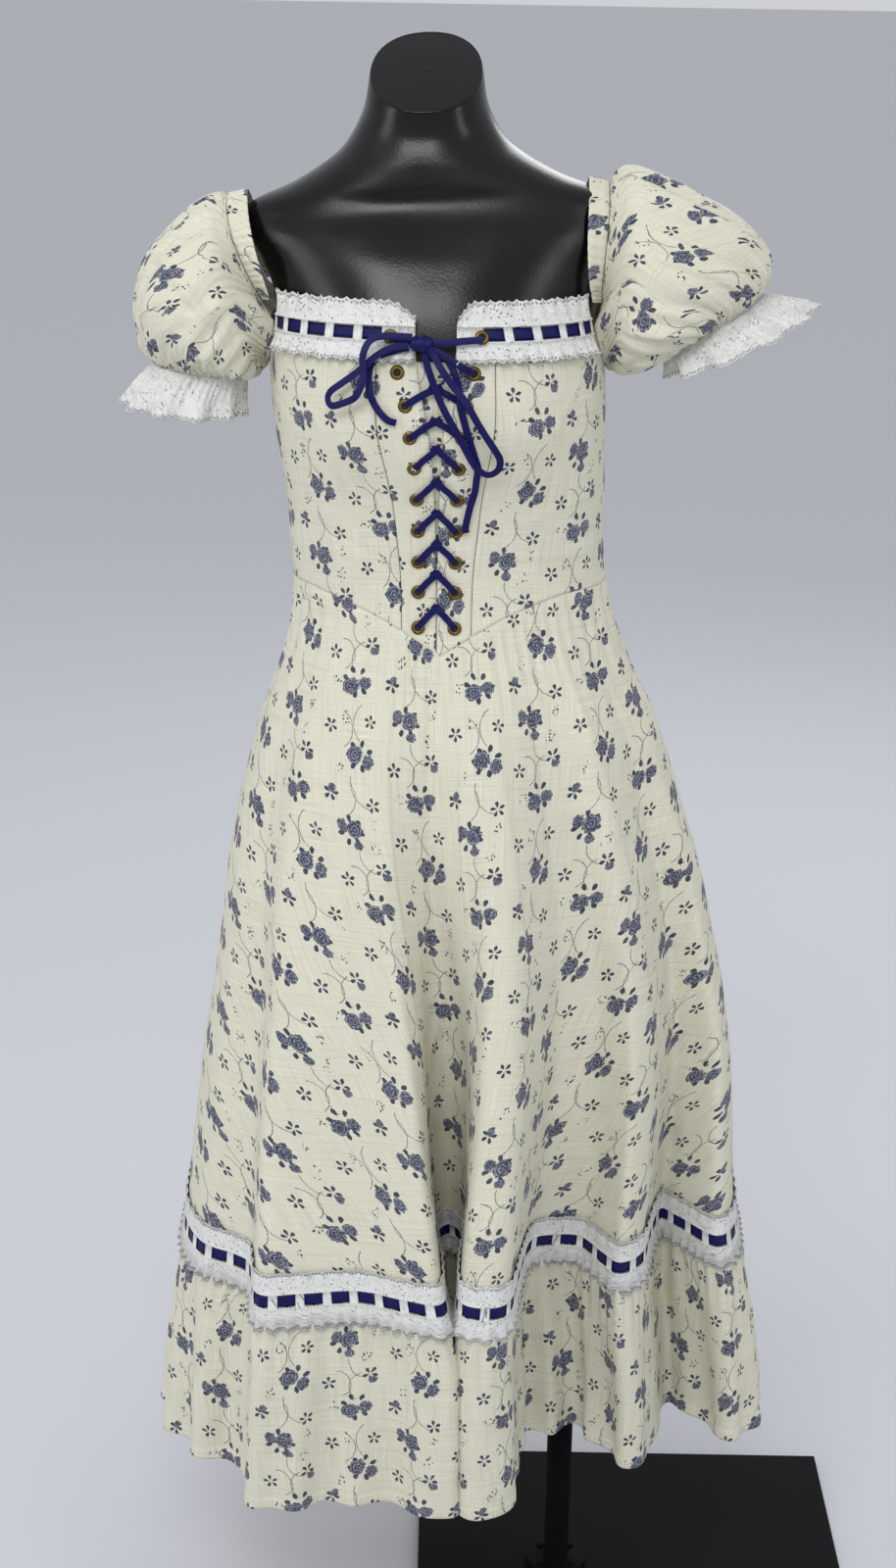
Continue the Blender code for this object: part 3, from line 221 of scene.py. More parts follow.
# Nearness to roses, dot patches, leaves and stems, low where one lies
def chartSprigs(add, localX, localY):
    # The nearest so far goes in as a height that is scaled away, so that the shapes are worked
    # out in turn, which keeps the shader small
    def turned(best, x, y, long, wide, turn):
        local = add("CombineXYZ", (localX, localY, 0.0 if best is None else best))
        place = {"Vector": local, "Location": (x, y, 0), "Rotation": (0, 0, math.radians(turn))}
        return add("Mapping", {**place, "Scale": (long, wide, 1e6)}, vector_type="TEXTURE")

    def length(vector):
        return add("VectorMath", (vector,), operation="LENGTH").outputs[1]

    def least(best, value):
        return value if best is None else add("Math", (best, value), operation="MINIMUM")

    rose = seed = leaf = stem = None
    for row in repeated(sprig["roses"]):
        rose = least(rose, length(turned(rose, *row)))
    for row in repeated(sprig["seeds"]):
        seed = least(seed, length(turned(seed, *row)))
    for x, y, reach, number, turn in repeated(sprig["clumps"]):
        wide = reach > printedLinen["wideClump"]
        inner = 0.50 if wide else 0.10  # a leaf lies between two reaches, where a wave is low
        spot = turned(leaf, x, y, reach, reach, turn)
        flat = add("SeparateXYZ", (spot,))
        angle = add("Math", (flat.outputs[1], flat.outputs[0]), operation="ARCTAN2")
        wave = add("Math", (add("Math", (angle, number / 2), operation="MULTIPLY"),), operation="SINE")
        wave = add("Math", (wave,), operation="ABSOLUTE")
        band = add("Math", (length(spot), (1 + inner) / 2), operation="SUBTRACT")
        band = add("Math", (band, (1 - inner) / 2), operation="DIVIDE")
        band = add("Math", (add("Math", (band,), operation="ABSOLUTE"), 3.0), operation="POWER")
        leaf = least(leaf, add("Math", (wave, 1.5 if wide else 1.25, band), operation="MULTIPLY_ADD"))
    for x, y, radius, first, swept in repeated(sprig["stems"]):
        spot = turned(stem, x, y, 1.0, 1.0, first + swept / 2)
        ends = math.cos(math.radians(swept / 2)) * radius
        past = add("Math", (add("SeparateXYZ", (spot,)), ends), operation="LESS_THAN")
        line = add("Math", (length(spot), radius), operation="SUBTRACT")
        line = add("Math", (line,), operation="ABSOLUTE")
        stem = least(stem, add("Math", (past, 9.0, line), operation="MULTIPLY_ADD"))
    return rose, seed, leaf, stem


# Cotton and linen plain weave, dry and uneven: thick slub threads, no shine, faded ink
def makePrintedLinen():
    shine = {"Roughness": 0.88, "IOR": 1.47, "Sheen_Weight": 0.08, "Sheen_Roughness": 0.6}
    material, add = newMaterial("slub_linen_printed", **shine)
    place, x, y = clothPlace(add)
    smoothly = {"interpolation_type": "SMOOTHSTEP"}
    ragged = add("TexNoise", {"Vector": place, "Scale": 0.34, "Detail": 2.0, "Roughness": 0.6})
    waver = add("SeparateColor", (ragged.outputs["Color"],))
    shiftedX = add("Math", (waver.outputs[0], printedLinen["waver"], x), operation="MULTIPLY_ADD")
    shiftedY = add("Math", (waver.outputs[1], printedLinen["waver"], y), operation="MULTIPLY_ADD")
    column = add("Math", (shiftedX, sprig["width"]), operation="DIVIDE")
    column = add("Math", (column,), operation="FLOOR")
    localX = add("Math", (column, -sprig["width"], shiftedX), operation="MULTIPLY_ADD")
    dropped = add("Math", (column, sprig["drop"], shiftedY), operation="MULTIPLY_ADD")
    localY = add("Math", (dropped, sprig["repeat"]), operation="FLOORED_MODULO")
    rose, seed, leaf, stem = chartSprigs(add, localX, localY)

    dots = add("TexVoronoi", {"Vector": place, "Scale": printedLinen["dots"], "Randomness": 0.8})
    raggedEdge = add("Math", (ragged, 0.8, -0.40), operation="MULTIPLY_ADD")
    roseEdge = add("Math", (rose, raggedEdge), operation="ADD")
    roseInk = add("MapRange", (roseEdge, 1.06, 0.94), **smoothly)
    petals = add("Math", (roseEdge, 17.0, 0.4), operation="MULTIPLY_ADD")  # arcs round the rose
    petals = add("MapRange", (add("Math", (petals,), operation="SINE"), 0.15, 0.75), **smoothly)
    patchy = add("MapRange", (ragged, 0.36, 0.48), **smoothly)
    petals = add("Math", (petals, patchy), operation="MULTIPLY")
    leafInk = add("MapRange", (leaf, 1.02, 0.86), **smoothly)
    stemInk = add("MapRange", (stem, 0.55, 0.30), **smoothly)
    stemInk = add("Math", (stemInk, 0.75), operation="MULTIPLY")
    dotInk = add("MapRange", (dots, 0.42, 0.30), **smoothly)
    dotInk = add("Math", (dotInk, add("MapRange", (seed, 1.05, 0.9), **smoothly)), operation="MULTIPLY")
    ink = add("Math", (roseInk, leafInk), operation="MAXIMUM")
    ink = add("Math", (ink, add("Math", (stemInk, dotInk), operation="MAXIMUM")), operation="MAXIMUM")

    threads = 2 * math.pi / printedLinen["thread"]
    weave = None
    thick, thin = [], []
    for lengthAlong, stretch in (
        (x, (0.018, 6 / printedLinen["slub"], 1)), (y, (6 / printedLinen["slub"], 0.018, 1))
    ):
        wave = add("Math", (lengthAlong, threads), operation="MULTIPLY")
        wave = add("Math", (wave,), operation="SINE")
        weave = wave if weave is None else add("Math", (weave, wave), operation="MULTIPLY")
        drawn = add("Mapping", {"Vector": place, "Scale": stretch})
        streaks = add("TexNoise", {"Vector": drawn, "Scale": 1.0, "Detail": 1.0})
        thick.append(add("MapRange", (streaks, 0.58, 0.74), **smoothly))
        thin.append(add("MapRange", (streaks, 0.44, 0.28), **smoothly))
    slub = add("Math", thick, operation="MAXIMUM")
    thin = add("Math", (add("Math", thin, operation="MAXIMUM"), 0.6), operation="MULTIPLY")
    share = add("Math", (slub, 0.9), operation="MULTIPLY")
    tones = {key: linear(printedLinen[key]) for key in ("base", "thick", "shade", "ink", "inkLight")}
    cloth = add("Mix", {0: share, 6: tones["base"], 7: tones["thick"]}, data_type="RGBA").outputs[2]
    cloth = add("Mix", {0: thin, 6: cloth, 7: tones["shade"]}, data_type="RGBA").outputs[2]
    share = add("Math", (petals, roseInk), operation="MULTIPLY")
    inkTone = add("Mix", {0: share, 6: tones["ink"], 7: tones["inkLight"]}, data_type="RGBA").outputs[2]
    worn = add("Math", (slub, -0.16, 0.97), operation="MULTIPLY_ADD")  # thick threads take less ink
    share = add("Math", (ink, worn), operation="MULTIPLY")
    colour = add("Mix", {0: share, 6: cloth, 7: inkTone}, data_type="RGBA").outputs[2]
    weave = add("Math", (weave, 0.5), operation="MULTIPLY")
    height = add("Math", (slub, 1.6, weave), operation="MULTIPLY_ADD")
    bump = add("Bump", {"Height": height, "Strength": 0.35, "Distance": 0.00025})
    feedShader(material, {"Base Color": colour, "Normal": bump})
    return material


cottonLace = {
    "thread": "#E8E8E4",
    "relief": "#CFCFCD",
    # the tone of the holes is painted shade, the dark seen through them
    "hole": "#6F7074",
    "mesh": 3.0,  # mm between the small worked holes
    "edge": 3.4,  # mm between the holes along an edge
    "edgeLine": 2.6,  # mm from the edge to those holes
}


# Bleached cotton, machine embroidered: matt white, raised thread round small holes, the holes painted dark
# grey as painted shade seen through them
def makeCottonLace():
    material, add = newMaterial("cotton_broderie_lace", Roughness=0.92, IOR=1.47, Sheen_Weight=0.1)
    place, x, y = clothPlace(add)
    smoothly = {"interpolation_type": "SMOOTHSTEP"}
    holes = add("TexVoronoi", {"Vector": place, "Scale": 1.0 / cottonLace["mesh"], "Randomness": 0.6})
    holes = add("MapRange", (holes, 0.34, 0.24), **smoothly)
    swirl = add("TexNoise", {"Vector": place, "Scale": 0.13, "Detail": 2.0, "Distortion": 1.4})
    patch = add("MapRange", (swirl, 0.50, 0.56), **smoothly)
    along = add("Math", (x, cottonLace["edge"]), operation="DIVIDE")
    along = add("Math", (add("Math", (along,), operation="FRACT"), 0.5), operation="SUBTRACT")
    across = add("Math", (y, cottonLace["edgeLine"]), operation="SUBTRACT")
    across = add("Math", (across, cottonLace["edge"]), operation="DIVIDE")
    edgeHole = add("CombineXYZ", (along, across, 0.0))
    edgeHole = add("VectorMath", (edgeHole,), operation="LENGTH").outputs[1]
    edgeHole = add("MapRange", (edgeHole, 0.31, 0.24), **smoothly)
    dark = add("Math", (add("Math", (holes, patch), operation="MULTIPLY"), edgeHole), operation="MAXIMUM")
    grain = add("TexNoise", {"Vector": place, "Scale": 0.9, "Detail": 2.0})
    share = add("Math", (add("MapRange", (grain, 0.42, 0.62), **smoothly), 0.8), operation="MULTIPLY")
    tones = {key: linear(cottonLace[key]) for key in ("thread", "relief", "hole")}
    tone = add("Mix", {0: share, 6: tones["thread"], 7: tones["relief"]}, data_type="RGBA").outputs[2]
    # the holes take the painted shade tone
    share = add("Math", (dark, 0.85), operation="MULTIPLY")
    colour = add("Mix", {0: share, 6: tone, 7: tones["hole"]}, data_type="RGBA").outputs[2]
    grainHeight = add("Math", (grain, 1.4), operation="MULTIPLY")
    height = add("Math", (dark, -1.4, grainHeight), operation="MULTIPLY_ADD")
    height = add("Math", (add("MapRange", (swirl, 0.44, 0.56), **smoothly), height), operation="ADD")
    bump = add("Bump", {"Height": height, "Strength": 0.8, "Distance": 0.0006})
    feedShader(material, {"Base Color": colour, "Normal": bump})
    return material


satinRibbon = {"dark": "#0A0A3E", "light": "#15155C", "thread": 0.55}  # mm between the ribs that show


# Polyester satin, woven: a soft line of light along it, a little lighter where it turns
def makeSatinRibbon():
    shine = {"Roughness": 0.46, "IOR": 1.45, "Specular_IOR_Level": 0.22, "Anisotropic": 0.4}
    material, add = newMaterial("polyester_satin_ribbon", **shine)
    place, x, _ = clothPlace(add)
    ribs = add("Math", (x, 2 * math.pi / satinRibbon["thread"]), operation="MULTIPLY")
    ribs = add("Math", (ribs,), operation="SINE")
    cloudy = add("TexNoise", {"Vector": place, "Scale": 0.15, "Detail": 2.0})
    tones = linear(satinRibbon["dark"]), linear(satinRibbon["light"])
    colour = add("Mix", {0: cloudy, 6: tones[0], 7: tones[1]}, data_type="RGBA").outputs[2]
    bump = add("Bump", {"Height": ribs, "Strength": 0.25, "Distance": 0.0001})
    feedShader(material, {"Base Color": colour, "Normal": bump})
    return material


antiqueBrass = {
    "brown": "#6B5931",
    "dark": "#352B18",
    "rubbed": "#8A7443",
    "spots": 900.0,  # to a metre
}


# Brass, stamped and dipped to an antique finish: rubbed bright on the rim, brown in the roll
def makeBrass():
    material, add = newMaterial("antique_brass_stamped", Metallic=1.0, Roughness=0.34)
    smoothly = {"interpolation_type": "SMOOTHSTEP"}
    surface = add("NewGeometry")
    spots = add(
        "TexNoise", {"Vector": surface.outputs["Position"], "Scale": antiqueBrass["spots"], "Detail": 3.0}
    )
    share = add("MapRange", (spots, 0.40, 0.65), **smoothly)
    tones = [linear(antiqueBrass[key]) for key in ("brown", "dark", "rubbed")]
    tone = add("Mix", {0: share, 6: tones[0], 7: tones[1]}, data_type="RGBA").outputs[2]
    worn = add("MapRange", (surface.outputs["Pointiness"], 0.51, 0.56), **smoothly)
    tone = add("Mix", {0: worn, 6: tone, 7: tones[2]}, data_type="RGBA").outputs[2]
    roughness = add("MapRange", (spots, 0.3, 0.7, 0.28, 0.5), **smoothly)
    feedShader(material, {"Base Color": tone, "Roughness": roughness})
    return material


glossShell = {"deep": "#040405", "light": "#0B0B0C", "ripple": 14.0, "peel": 420.0}  # ripples to a metre


# Moulded glass fibre, sprayed gloss black: sharp soft-edged reflections, faint ripple
def makeShell():
    material, add = newMaterial("moulded_shell_gloss_black", Roughness=0.24, IOR=1.4)
    place = add("NewGeometry").outputs["Position"]
    ripple = add("TexNoise", {"Vector": place, "Scale": glossShell["ripple"], "Detail": 2.0})
    peel = add("TexNoise", {"Vector": place, "Scale": glossShell["peel"], "Detail": 2.0})
    tones = linear(glossShell["deep"]), linear(glossShell["light"])
    tone = add("Mix", {0: ripple, 6: tones[0], 7: tones[1]}, data_type="RGBA").outputs[2]
    roughness = add("MapRange", (ripple, 0.3, 0.7, 0.2, 0.33), interpolation_type="SMOOTHSTEP")
    height = add("Math", (ripple, 6.0, peel), operation="MULTIPLY_ADD")
    bump = add("Bump", {"Height": height, "Strength": 0.18, "Distance": 0.0006})
    feedShader(material, {"Base Color": tone, "Roughness": roughness, "Normal": bump})
    return material


coatedSteel = {"coat": "#08080A", "dust": "#141417", "pebble": 700.0, "dustScale": 9.0}  # to a metre


# Mild steel, powder coated black: dull, slightly pebbled, with dust in the light
def makeSteel():
    shine = {"Roughness": 0.7, "IOR": 1.5, "Specular_IOR_Level": 0.12}
    material, add = newMaterial("powder_coated_steel", **shine)
    place = add("NewGeometry").outputs["Position"]
    pebble = add("TexNoise", {"Vector": place, "Scale": coatedSteel["pebble"], "Detail": 2.0})
    dust = add("TexNoise", {"Vector": place, "Scale": coatedSteel["dustScale"], "Detail": 5.0})
    share = add("MapRange", (dust, 0.45, 0.75, 0.0, 0.35), interpolation_type="SMOOTHSTEP")
    tones = linear(coatedSteel["coat"]), linear(coatedSteel["dust"])
    tone = add("Mix", {0: share, 6: tones[0], 7: tones[1]}, data_type="RGBA").outputs[2]
    bump = add("Bump", {"Height": pebble, "Strength": 0.2, "Distance": 0.0003})
    feedShader(material, {"Base Color": tone, "Normal": bump})
    return material


# height, centre x, half width, reach to the front, reach to the back
dressCuts = (
    (0.200, -0.098, 0.286, 0.238, 0.236),
    (0.282, -0.099, 0.281, 0.240, 0.232),
    (0.377, -0.102, 0.269, 0.241, 0.228),
    (0.434, -0.104, 0.261, 0.240, 0.225),
    (0.501, -0.103, 0.256, 0.232, 0.219),
    (0.613, -0.101, 0.246, 0.214, 0.205),
    (0.687, -0.102, 0.233, 0.199, 0.192),
    (0.779, -0.108, 0.217, 0.178, 0.175),
    (0.836, -0.112, 0.202, 0.163, 0.160),
    (0.874, -0.114, 0.191, 0.152, 0.151),
    (0.921, -0.116, 0.177, 0.136, 0.137),
    (0.955, -0.118, 0.162, 0.119, 0.122),
    (1.000, -0.121, 0.146, 0.099, 0.103),
    (1.035, -0.124, 0.140, 0.092, 0.094),
    (1.064, -0.128, 0.139, 0.092, 0.090),
    (1.120, -0.131, 0.1405, 0.101, 0.093),
    (1.161, -0.135, 0.1430, 0.112, 0.097),
    (1.205, -0.138, 0.1455, 0.119, 0.100),
    (1.250, -0.141, 0.1445, 0.116, 0.101),
    (1.300, -0.1445, 0.1400, 0.103, 0.099),
)
# height, x of the centre line, half gap, centre line to eyelet, centre line to princess seam
frontOpening = (
    (0.990, -0.1362, 0.0003, 0.0155, 0.030),
    (1.060, -0.1368, 0.0004, 0.0158, 0.031),
    (1.105, -0.1372, 0.0013, 0.0163, 0.035),
    (1.134, -0.1376, 0.0023, 0.0170, 0.038),
    (1.162, -0.1382, 0.0036, 0.0185, 0.042),
    (1.190, -0.1390, 0.0062, 0.0215, 0.046),
    (1.216, -0.1396, 0.0105, 0.0250, 0.048),
    (1.243, -0.1402, 0.0150, 0.0315, 0.049),
    (1.271, -0.1404, 0.0175, 0.0370, 0.050),
    (1.300, -0.1404, 0.0185, 0.0380, 0.050),
)
body = {
    "curve": 2.2,
    "cupAngle": math.radians(31.0),
    "cupAngleSpread": math.radians(17.0),
    "cupZ": 1.192,
    "cupZSpread": 0.042,
    "cupRise": 0.009,
    "waistFront": 0.995,
    "waistSide": 1.045,
    "waistReach": 0.120,
    "waistCurve": 1.6,
    "neck": 1.285,
    "backNeck": 1.295,
    "underarm": 1.236,
    "armholeFront": math.radians(73.0),
    "armholeBack": math.radians(109.0),
}


# The columns after the first, smoothly between the rows
def tableAt(rows, height):
    table = np.array(rows, float)
    z = table[:, 0]
    height = np.clip(height, z[0], z[-1])
    here = np.clip(np.searchsorted(z, height) - 1, 0, len(z) - 2)
    there, before, after = here + 1, np.maximum(here - 1, 0), np.minimum(here + 2, len(z) - 1)
    span = z[there] - z[here]
    t = (height - z[here]) / span
    values = []
    for v in table.T[1:]:
        start = (v[there] - v[before]) / (z[there] - z[before]) * span
        end = (v[after] - v[here]) / (z[after] - z[here]) * span
        values.append(
            v[here] * (2 * t**3 - 3 * t**2 + 1)
            + start * (t**3 - 2 * t**2 + t)
            + v[there] * (3 * t**2 - 2 * t**3)
            + end * (t**3 - t**2)
        )
    return values


# More rows between the given ones, on one smooth curve
def smoothRun(rows, steps):
    rows = np.array(rows, float)
    run = []
    for index in range(len(rows) - 1):
        a, b = rows[max(index - 1, 0)], rows[index]
        c, d = rows[index + 1], rows[min(index + 2, len(rows) - 1)]
        for step in range(steps):
            t = step / steps
            run.append(
                0.5 * (
                    2 * b + (c - a) * t + (2 * a - 5 * b + 4 * c - d) * t**2 + (3 * b - 3 * c + d - a) * t**3
                )
            )
    run.append(rows[-1])
    return np.array(run)


# One row more than the count, at even distances along the smooth curve through the rows
def evenRun(rows, count):
    run = smoothRun(rows, 12)
    lengths = np.concatenate([[0.0], np.cumsum(np.linalg.norm(np.diff(run[:, :2], axis=0), axis=1))])
    targets = np.linspace(0.0, lengths[-1], count + 1)
    return np.stack([np.interp(targets, lengths, run[:, c]) for c in range(run.shape[1])], -1)


def oval(angle, halfWidth, depth):
    across = (np.abs(np.sin(angle)) / halfWidth) ** body["curve"]
    along = (np.abs(np.cos(angle)) / depth) ** body["curve"]
    return (across + along) ** (-1.0 / body["curve"])


def waistHeight(angle):
    centre, half, front, _ = tableAt(dressCuts, body["waistSide"])
    x = centre + oval(angle, half, front) * np.sin(angle)
    middle = tableAt(frontOpening, body["waistFront"])[0]
    across = np.minimum(np.abs(x - middle) / body["waistReach"], 1.0)
    rise = (body["waistSide"] - body["waistFront"]) * (1.0 - (1.0 - across) ** body["waistCurve"])
    return np.where(np.abs(angle) > math.pi / 2, body["waistSide"], body["waistFront"] + rise)


def neckHeight(angle):
    turn = np.abs(angle)
    front = turn < math.pi / 2
    level = np.where(front, body["neck"], body["backNeck"])
    edge = np.where(front, body["armholeFront"], body["armholeBack"])
    across = np.abs(turn - math.pi / 2) / np.abs(edge - math.pi / 2)
    scoop = (level - body["underarm"]) * np.sqrt(np.clip(1.0 - across**2, 0.0, 1.0))
    return np.where(across >= 1.0, level, level - scoop)


def bodicePoint(angle, height):
    centre, half, front, back = tableAt(dressCuts, height)
    reach = oval(angle, half, np.where(np.abs(angle) < math.pi / 2, front, back))
    cup = np.exp(-(((np.abs(angle) - body["cupAngle"]) / body["cupAngleSpread"]) ** 2))
    reach = reach + body["cupRise"] * cup * np.exp(-(((height - body["cupZ"]) / body["cupZSpread"]) ** 2))
    return np.stack(np.broadcast_arrays(centre + reach * np.sin(angle), -reach * np.cos(angle), height), -1)


def unit(vectors):
    return vectors / np.maximum(np.linalg.norm(vectors, axis=-1, keepdims=True), 1e-12)


def bodiceNormal(angle, height):
    step = 0.002
    across = bodicePoint(angle + step, height) - bodicePoint(angle - step, height)
    up = bodicePoint(angle, height + step) - bodicePoint(angle, height - step)
    return unit(np.cross(across, up))


def frontAngle(offset, height):
    centre, half, front, _ = tableAt(dressCuts, height)
    across = tableAt(frontOpening, height)[0] + offset - centre
    level = np.minimum(np.abs(across) / half, 0.999)
    return np.arctan2(across, front * (1.0 - level ** body["curve"]) ** (1.0 / body["curve"]))


def frontPoint(offset, height, out):
    angle = frontAngle(offset, height)
    return bodicePoint(angle, height) + bodiceNormal(angle, height) * np.expand_dims(out, -1)


# Normals of a grid of points, facing out when rows run down and columns run left to right in front
def gridNormals(points, closed=False):
    if closed:
        across = np.roll(points, -1, 1) - np.roll(points, 1, 1)
    else:
        across = np.gradient(points, axis=1)
    return unit(np.cross(np.gradient(points, axis=0), across))


# Normals of one row of points round the skirt
def levelNormals(points):
    return gridNormals(np.array([points + (0, 0, 0.001), points]))[0]


# Smooth noise from -1 to 1 at each point, size in metres
def unevenness(points, size, seed):
    flat = points.reshape(-1, 3) / size
    values = [noise.noise(Vector(p) + Vector((seed, seed * 1.7, seed * 0.3))) for p in flat]
    return np.array(values).reshape(points.shape[:-1])


# Ridges and hollows along short lines: from u, v to u, v, width, height
def creaseField(u, v, rows):
    field = np.zeros(np.broadcast(u, v).shape)
    for u0, v0, u1, v1, width, height in rows:
        du, dv = u1 - u0, v1 - v0
        length = math.hypot(du, dv)
        along = ((u - u0) * du + (v - v0) * dv) / length**2
        beside = ((u - u0) * dv - (v - v0) * du) / length / width
        ends = np.clip(1.0 - (2.0 * along - 1.0) ** 2, 0.0, 1.0) ** 0.75
        # one side of a crease is sharper than the other
        profile = np.where(beside > 0, np.exp(-(beside**2) * 1.2), np.exp(-(beside**2) * 5.0))
        field = field + height * ends * profile
    return field


# A piece of the object from arrays, with its cloth lengths as UVs in metres
def addPiece(name, points, faces, uv, material, smooth=True):
    mesh = bpy.data.meshes.new(name)
    mesh.from_pydata([tuple(p) for p in points], [], [list(f) for f in faces])
    layer = mesh.uv_layers.new(name="cloth")
    corners = np.zeros(len(mesh.loops), np.int32)
    mesh.loops.foreach_get("vertex_index", corners)
    layer.data.foreach_set("uv", np.array(uv, np.float32)[corners].ravel())
    if smooth:
        mesh.shade_smooth()
    mesh.materials.append(material)
    item = bpy.data.objects.new(name, mesh)
    bpy.context.scene.collection.objects.link(item)
    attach(item, "root")
    return item


def gridFaces(rows, columns, closed=False, start=0):
    faces = []
    last = columns if closed else columns - 1
    for row in range(rows - 1):
        for column in range(last):
            following = (column + 1) % columns
            a, b = start + row * columns, start + (row + 1) * columns
            faces.append((a + column, b + column, b + following, a + following))
    return faces


clothWall = {
    "panel": 0.0009,
    "sleeve": 0.0008,
    "placket": 0.0006,
    "lace": 0.0006,
    "cuff": 0.0005,
    "ribbon": 0.0004,
}


# A thin shell of cloth on a grid of points, its thickness going inward
def addCloth(name, points, uv, material, thickness, closed=False):
    rows, columns = points.shape[:2]
    faces = gridFaces(rows, columns, closed)
    item = addPiece(name, points.reshape(-1, 3), faces, uv.reshape(-1, 2), material)
    thicken(item, thickness)
    return item


def thicken(item, thickness):
    shell = item.modifiers.new("shell", "SOLIDIFY")
    shell.thickness = thickness
    shell.offset = -1.0
    shell.use_even_offset = False


# Seamless paper, matt pale grey
def buildFloor():
    material = newMaterial("seamless_paper", Roughness=0.95, Base_Color=linear(studio["floor"]))[0]
    mesh = bpy.data.meshes.new("floor")
    mesh.from_pydata([(-120, -20, 0), (120, -20, 0), (120, 200, 0), (-120, 200, 0)], [], [(0, 1, 2, 3)])
    mesh.materials.append(material)
    floor = bpy.data.objects.new("floor", mesh)
    bpy.context.scene.collection.objects.link(floor)


# Points and faces of a profile of radius and height, from the top down, turned round Z
def lathe(profile, steps):
    turn = np.arange(steps) * 2 * math.pi / steps
    rings = [np.column_stack([r * np.cos(turn), r * np.sin(turn), np.full(steps, z)]) for r, z in profile]
    return np.concatenate(rings), gridFaces(len(profile), steps, True)


stand = {
    "top": 0.8197,
    "pole": 0.0125,
    "flange": 0.031,
    "flangeTop": 0.0133,
    "plate": 0.007,
    "size": 0.432,
    "x": 0.075,
    "y": -0.021,
    "bolts": 4,
    "boltRing": 0.0215,
    # radius and height over the flange, turned as a six-sided head
    "bolt": ((0.0001, 0.0026), (0.0030, 0.0026), (0.0038, 0.0018), (0.0039, 0.0), (0.0001, 0.0)),
}


def buildStand(steel):
    pole, flange, top = stand["pole"], stand["flange"], stand["flangeTop"]
    low = stand["plate"] + 0.0003
    profile = (
        (0.0001, stand["top"]),
        (pole, stand["top"]),
        (pole, top + 0.0016),
        (pole + 0.0006, top + 0.0004),
        (pole + 0.0016, top),
        (flange - 0.0014, top),
        (flange - 0.0004, top - 0.0004),
        (flange, top - 0.0014),
        (flange, low),
        (0.0001, low),
    )
    points, faces = lathe(profile, 64)
    allPoints, allFaces = [points], list(faces)
    for bolt in range(stand["bolts"]):
        turn = math.radians(45 + 90 * bolt)
        ring = stand["boltRing"]
        place = np.array((ring * math.cos(turn), ring * math.sin(turn), top))
        headPoints, headFaces = lathe(stand["bolt"], 6)
        start = sum(len(p) for p in allPoints)
        allPoints.append(headPoints + place)
        allFaces += [tuple(i + start for i in face) for face in headFaces]
    points = np.concatenate(allPoints)
    pole = addPiece(
        "stand_pole_and_flange", points, allFaces, points[:, [0, 2]], steel, False
    )
    pole.data.shade_smooth()
    pole.data.set_sharp_from_angle(angle=math.radians(40))
    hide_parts("stand_pole")

    half, thick = stand["size"] / 2, stand["plate"]
    corners = np.array([(x, y, z) for z in (0, 1) for x, y in ((-1, -1), (1, -1), (1, 1), (-1, 1))], float)
    corners = corners * (half, half, thick) + (stand["x"], stand["y"], 0)
    faces = [(3, 2, 1, 0), (4, 5, 6, 7), (0, 1, 5, 4), (1, 2, 6, 5), (2, 3, 7, 6), (3, 0, 4, 7)]
    plate = addPiece(
        "stand_base_plate", corners, faces, corners[:, :2], steel, False
    )
    edge = plate.modifiers.new("edge", "BEVEL")
    edge.width, edge.segments = 0.0012, 3
    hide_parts("base_plate")


formShape = {
    # height, centre x, centre y, half width, reach to the front, reach to the back, tilt
    "hips": (
        (0.820, -0.114, 0.000, 0.146, 0.092, 0.096, 0.0),
        (0.826, -0.114, 0.000, 0.151, 0.096, 0.100, 0.0),
        (0.885, -0.115, 0.000, 0.158, 0.101, 0.106, 0.0),
        (0.950, -0.118, 0.000, 0.149, 0.096, 0.101, 0.0),
    ),
    "bodiceRows": (1.000, 1.045, 1.090, 1.140, 1.190, 1.235, 1.285),
    "neck": (
        (1.322, -0.146, 0.000, 0.1460, 0.0840, 0.0890, 0.0),
        (1.345, -0.147, 0.000, 0.1590, 0.0700, 0.0770, 0.0),
        (1.364, -0.148, 0.000, 0.1600, 0.0560, 0.0600, 0.0),
        (1.376, -0.149, 0.000, 0.1490, 0.0510, 0.0560, 0.0),
        (1.390, -0.150, 0.000, 0.1140, 0.0520, 0.0580, 3.0),
        (1.408, -0.151, 0.000, 0.0820, 0.0510, 0.0550, 7.0),
        (1.424, -0.152, 0.000, 0.0650, 0.0500, 0.0530, 14.0),
        (1.448, -0.1525, 0.000, 0.0525, 0.0490, 0.0510, 25.0),
        (1.474, -0.1525, 0.000, 0.0480, 0.0530, 0.0530, 35.0),
        (1.4765, -0.1525, -0.0015, 0.0465, 0.0515, 0.0515, 35.0),
    ),
    "ease": 0.0058,
    "lean": 0.045,
    "leanHeight": 1.33,
    "columns": 120,
}


